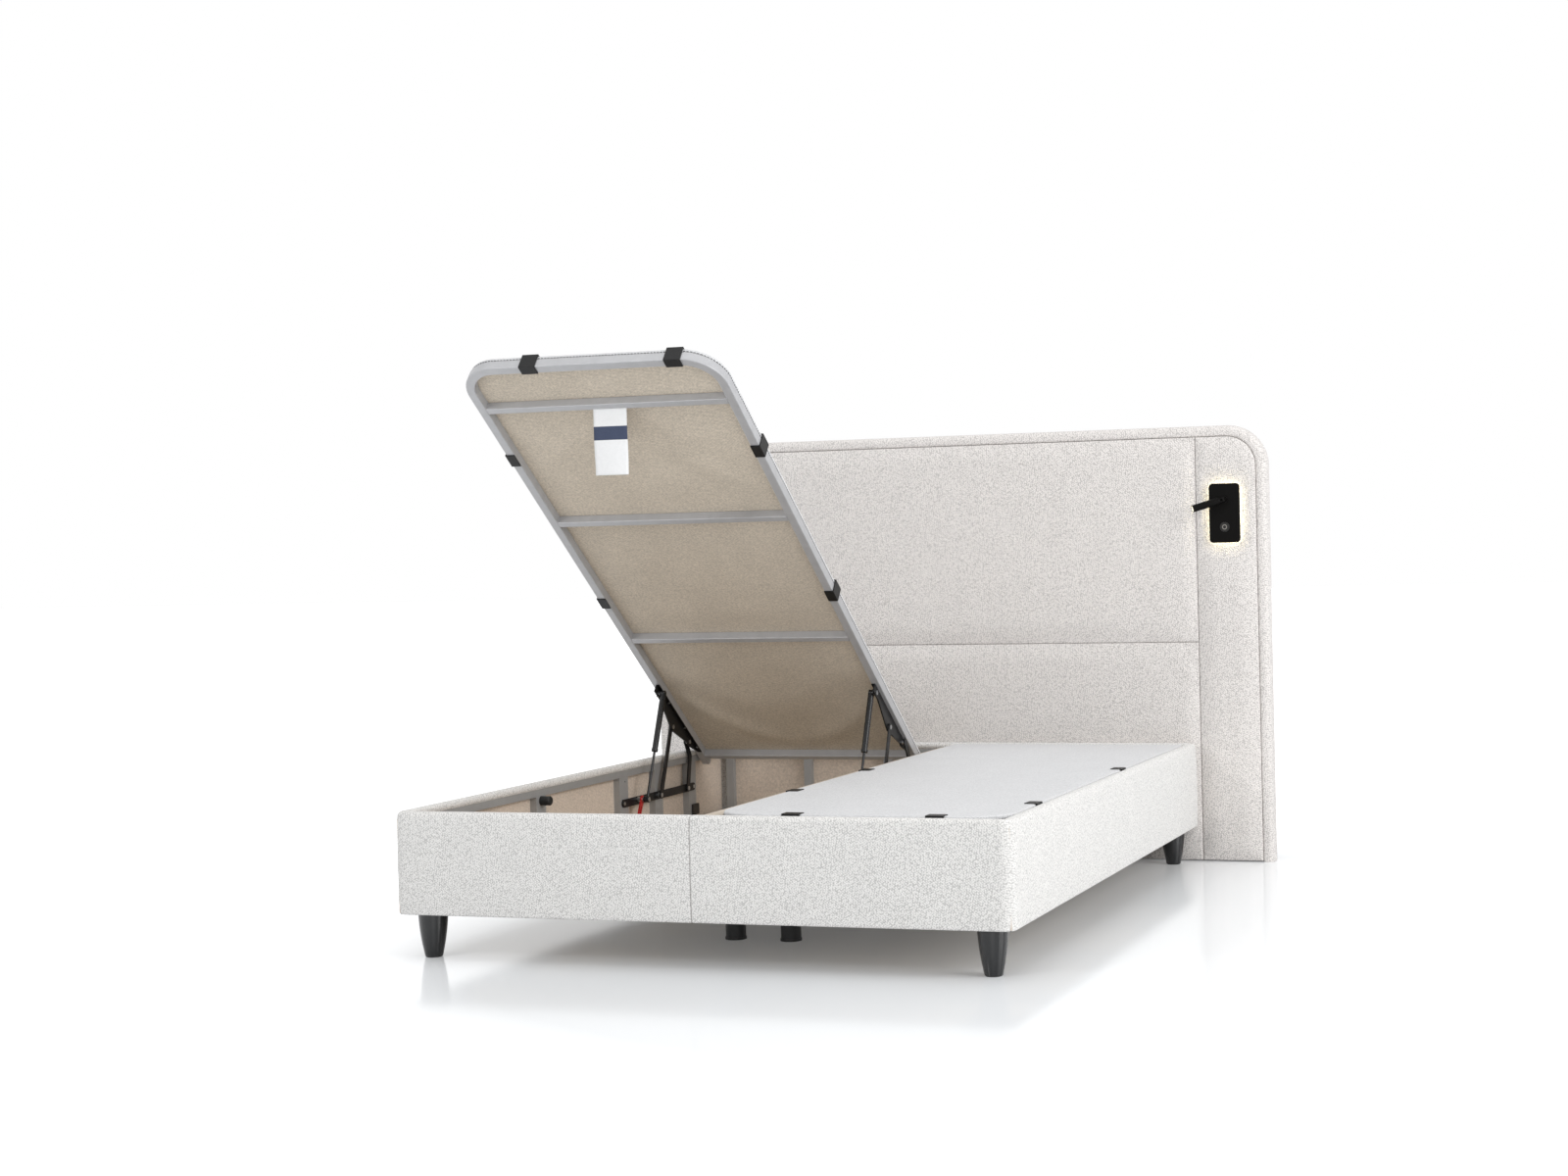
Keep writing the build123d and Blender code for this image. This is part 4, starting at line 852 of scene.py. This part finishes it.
def lid_underside(side):
    """Cloth under a lid's panel, which sags in soft folds between the tubes."""
    name = SIDE_NAMES[side]
    step, margin, head_gap = 16.0, 3.0, 1.5
    half, length = LID_HALF - LID_INSET - margin, LID_LENGTH - LID_INSET - margin
    corners = {(-1, -1): LID_CORNER - margin, (1, -1): LID_CORNER - margin}
    hidden_top = 27.2
    tube_middle, tube_grip, foot_tube = 10.0, 11.0, 26.0
    edge_reach, tube_reach = 90.0, 110.0
    # Each fold's depth, distance from the head end, bow, middle, power of the bow and width
    folds = (
        (6.0, 80.0, 330.0, 0.0, 1.5, 46.0),
        (3.5, 300.0, 250.0, 0.1, 1.3, 60.0),
        (4.0, 1650.0, -290.0, 0.2, 0.9, 34.0),
    )

    def top(d, x, y):
        return hidden_top

    def sag(d, x, y):
        free = min(1.0, max(0.0, (LID_HALF - LID_TUBE - abs(x)) / edge_reach))
        for start in CROSS_TUBES:
            gap = max(0.0, abs(-y - (start + tube_middle)) - tube_grip)
            free = min(free, gap / tube_reach)
        free = min(free, max(0.0, (LID_LENGTH - foot_tube + y) / edge_reach))
        free = free * free * (3 - 2 * free)
        u, v = x / LID_HALF, -y
        uneven = Vector((x / 260.0, y / 170.0 + x / 420.0, 2.0 + side))
        hang = 2.2 + 2.0 * noise.noise(uneven)
        for depth, start, bow, middle, power, width in folds:
            away = v - start - bow * abs(u + middle) ** power
            hang += depth * math.exp(-((away / width) ** 2))
        return LID_TUBE - free * hang

    piece = slab(
        f"{name}_lid_underside", (-half, half, -length, -head_gap), step, top, sag,
        lid_place(side), corners, UNDERSIDE_CLOTH,
    )
    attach(piece, f"{name}_lid")
    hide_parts(f"{name}_lid_panel")


def lid_stitches(side):
    """Row of dark hem stitches round the edge of a lid's cover, whose dark colour also paints the
    shadow of the seam there.
    """
    name = SIDE_NAMES[side]
    place = lid_place(side)
    half, length = LID_HALF - LID_INSET, LID_LENGTH - LID_INSET
    pitch, stitch, rise, height = 9.0, 6.0, 1.8, 28.8
    sunk, end_proud, middle_proud = -0.4, 0.1, 0.75
    head_gap, first_gap = 4.0, 1.0
    side_run = length - LID_CORNER - head_gap
    arc = LID_CORNER * math.pi / 2
    legs = [side_run, arc, 2 * (half - LID_CORNER), arc, side_run]

    def edge_point(s):
        """Position and outward direction at s along the edge, between the two head corners."""
        for leg, size in enumerate(legs):
            if s <= size or leg == len(legs) - 1:
                break
            s -= size
        if leg in (1, 3):
            c, k = math.cos(s / LID_CORNER), math.sin(s / LID_CORNER)
            out = (-c, -k) if leg == 1 else (k, -c)
            centre_x = LID_CORNER - half if leg == 1 else half - LID_CORNER
            centre_y = LID_CORNER - length
            return (centre_x + LID_CORNER * out[0], centre_y + LID_CORNER * out[1]), out
        if leg == 0:
            return (-half, -head_gap - s), (-1.0, 0.0)
        if leg == 2:
            return (LID_CORNER - half + s, -length), (0.0, -1.0)
        return (half, LID_CORNER - length + s), (1.0, 0.0)

    verts, faces = [], []
    for k in range(int(sum(legs) / pitch)):
        faces += tube_faces(len(verts), 3, 4)
        for along, proud in ((0.0, end_proud), (stitch * 0.5, middle_proud), (stitch, end_proud)):
            (x, y), (ox, oy) = edge_point(k * pitch + first_gap + along)
            ring = ((sunk, -rise / 2), (proud, -rise / 4), (proud, rise / 4), (sunk, rise / 2))
            for out, up in ring:
                verts.append(place(x + ox * out, y + oy * out, height + up))
    piece = mesh_piece(f"{name}_lid_stitches", verts, faces, (THREAD_AND_SEAM_SHADOW,))
    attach(piece, f"{name}_lid")


for side in SIDE_NAMES:
    lid_cover(side)
    lid_underside(side)
    lid_stitches(side)


# Tag
def tag():
    """Blank cloth tag that hangs from the raised lid's first cross tube."""
    width, height = 95.0, 172.0
    left, distance, top = -435.0, 423.0, 1368.0
    band_start, band_end = 0.27, 0.48
    nx, nz = 12, 34
    verts, faces, marks = [], [], []
    for j in range(nz + 1):
        for i in range(nx + 1):
            u, v = i / nx, j / nz
            x = left + width * u
            bow = 5.0 * math.sin(u * 3.1) * v + 3.0 * math.sin(v * 5.0 + u * 1.4) * v
            verts.append(world(x + 1.5 * v, distance - bow, top - height * v))
    for j in range(nz):
        for i in range(nx):
            a = j * (nx + 1) + i
            faces.append((a, a + nx + 1, a + nx + 2, a + 1))
            marks.append(1 if band_start < (j + 0.5) / nz < band_end else 0)
    piece = mesh_piece("lid_tag", verts, faces, (TAG_CLOTH, TAG_BAND), marks)
    thick = piece.modifiers.new("thickness", "SOLIDIFY")
    thick.thickness = 0.0004
    apply_modifiers(piece)
    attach(piece, "left_lid")


tag()


# Stage, light and camera
def studio_floor():
    """Pale glossy floor. It glows to white away from the bed; the glow fades near the bed, which
    paints shade round it on top of the real shadow.
    """
    s = Shader("floor_white", (0.84, 0.855, 0.87, 1.0), 0.12)
    s.set("Specular IOR Level", 0.35).set("Emission Color", WHITE)
    near = s.mapped(Scale=(0.2, 0.22, 0.2), Location=(-0.17, 0.09, 0.0))
    distance = s.texture("ShaderNodeTexGradient", near, gradient_type="SPHERICAL")
    # Painted shade: the glow is weakest near the bed, so the floor there is darker than the
    # lighting alone would make it.
    limits = {"From Min": 0.50, "From Max": 0.67, "To Min": 0.6, "To Max": 0.10}
    painted_shade_fade = s.node("ShaderNodeMapRange", **limits)
    s.link(distance.outputs["Fac"], painted_shade_fade.inputs["Value"])
    seen = s.seen_by("Is Camera Ray", "Is Glossy Ray")
    glow = s.math("MULTIPLY", seen, painted_shade_fade.outputs["Result"])
    s.link(glow, s.shader.inputs["Emission Strength"])

    reach = 40.0
    corners = [(-reach, -reach, 0), (reach, -reach, 0), (reach, reach, 0), (-reach, reach, 0)]
    mesh = bpy.data.meshes.new("floor")
    mesh.from_pydata(corners, [], [(0, 1, 2, 3)])
    mesh.materials.append(s.material)
    floor = bpy.data.objects.new("floor", mesh)
    bpy.context.scene.collection.objects.link(floor)


def studio_world():
    """White to the camera and in reflections, and a soft cool light on the object."""
    studio = bpy.data.worlds.new("studio")
    bpy.context.scene.world = studio
    studio.use_nodes = True
    studio.node_tree.nodes.clear()
    n = Nodes(studio.node_tree)
    light = n.node("ShaderNodeBackground", Color=(0.97, 0.985, 1.0, 1.0), Strength=0.69)
    white = n.node("ShaderNodeBackground", Color=WHITE, Strength=1.0)
    mix = n.node("ShaderNodeMixShader")
    n.link(n.seen_by("Is Camera Ray", "Is Glossy Ray", "Is Transmission Ray"), mix.inputs["Fac"])
    n.link(light.outputs[0], mix.inputs[1])
    n.link(white.outputs[0], mix.inputs[2])
    n.link(mix.outputs[0], n.node("ShaderNodeOutputWorld").inputs["Surface"])


def area_light(name, place, target, size, power):
    data = bpy.data.lights.new(name, "AREA")
    data.shape = "RECTANGLE"
    data.size, data.size_y = size
    data.energy = power
    lamp = bpy.data.objects.new(name, data)
    bpy.context.scene.collection.objects.link(lamp)
    lamp.location = place
    lamp.rotation_euler = (Vector(target) - Vector(place)).to_track_quat("-Z", "Y").to_euler()


def camera():
    """Camera fitted to the photograph by the base's corners and the headboard."""
    yaw, pitch, roll = (math.radians(v) for v in (17.49, 1.05, -1.34))
    photo_width, focal_pixels, sensor_width = 1600.0, 2377.11, 36.0
    level = Vector((-math.sin(yaw), math.cos(yaw), 0))
    upright = Vector((0, 0, 1))
    forward = level * math.cos(pitch) - upright * math.sin(pitch)
    up = level * math.sin(pitch) + upright * math.cos(pitch)
    right = Vector((math.cos(yaw), math.sin(yaw), 0))
    turned_right = right * math.cos(roll) + up * math.sin(roll)
    turned_up = up * math.cos(roll) - right * math.sin(roll)
    rotation = Matrix((turned_right, turned_up, -forward)).transposed()
    place = world(2327.88, -5045.77, 992.32)
    data = bpy.data.cameras.new("camera")
    data.sensor_width = sensor_width
    data.lens = focal_pixels / photo_width * sensor_width
    data.shift_x = -0.125
    data.clip_end = 200.0
    eye = bpy.data.objects.new("camera", data)
    bpy.context.scene.collection.objects.link(eye)
    eye.matrix_world = Matrix.Translation(place) @ rotation.to_4x4()
    bpy.context.scene.camera = eye


studio_floor()
studio_world()
area_light("key", place=(-2.9, -5.0, 3.5), target=(0.0, 0.0, 0.5), size=(1.0, 1.0), power=54.0)
area_light("front", place=(1.8, -5.2, 1.9), target=(0.4, 1.0, 0.5), size=(2.4, 2.0), power=30.0)
area_light("fill", place=(5.8, -1.6, 2.8), target=(0.2, 0.2, 0.6), size=(3.4, 3.0), power=196.0)
area_light("top", place=(0.0, 0.2, 5.2), target=(0.0, 0.0, 0.0), size=(5.0, 5.0), power=60.0)
camera()

scene = bpy.context.scene
scene.view_settings.view_transform = "Standard"
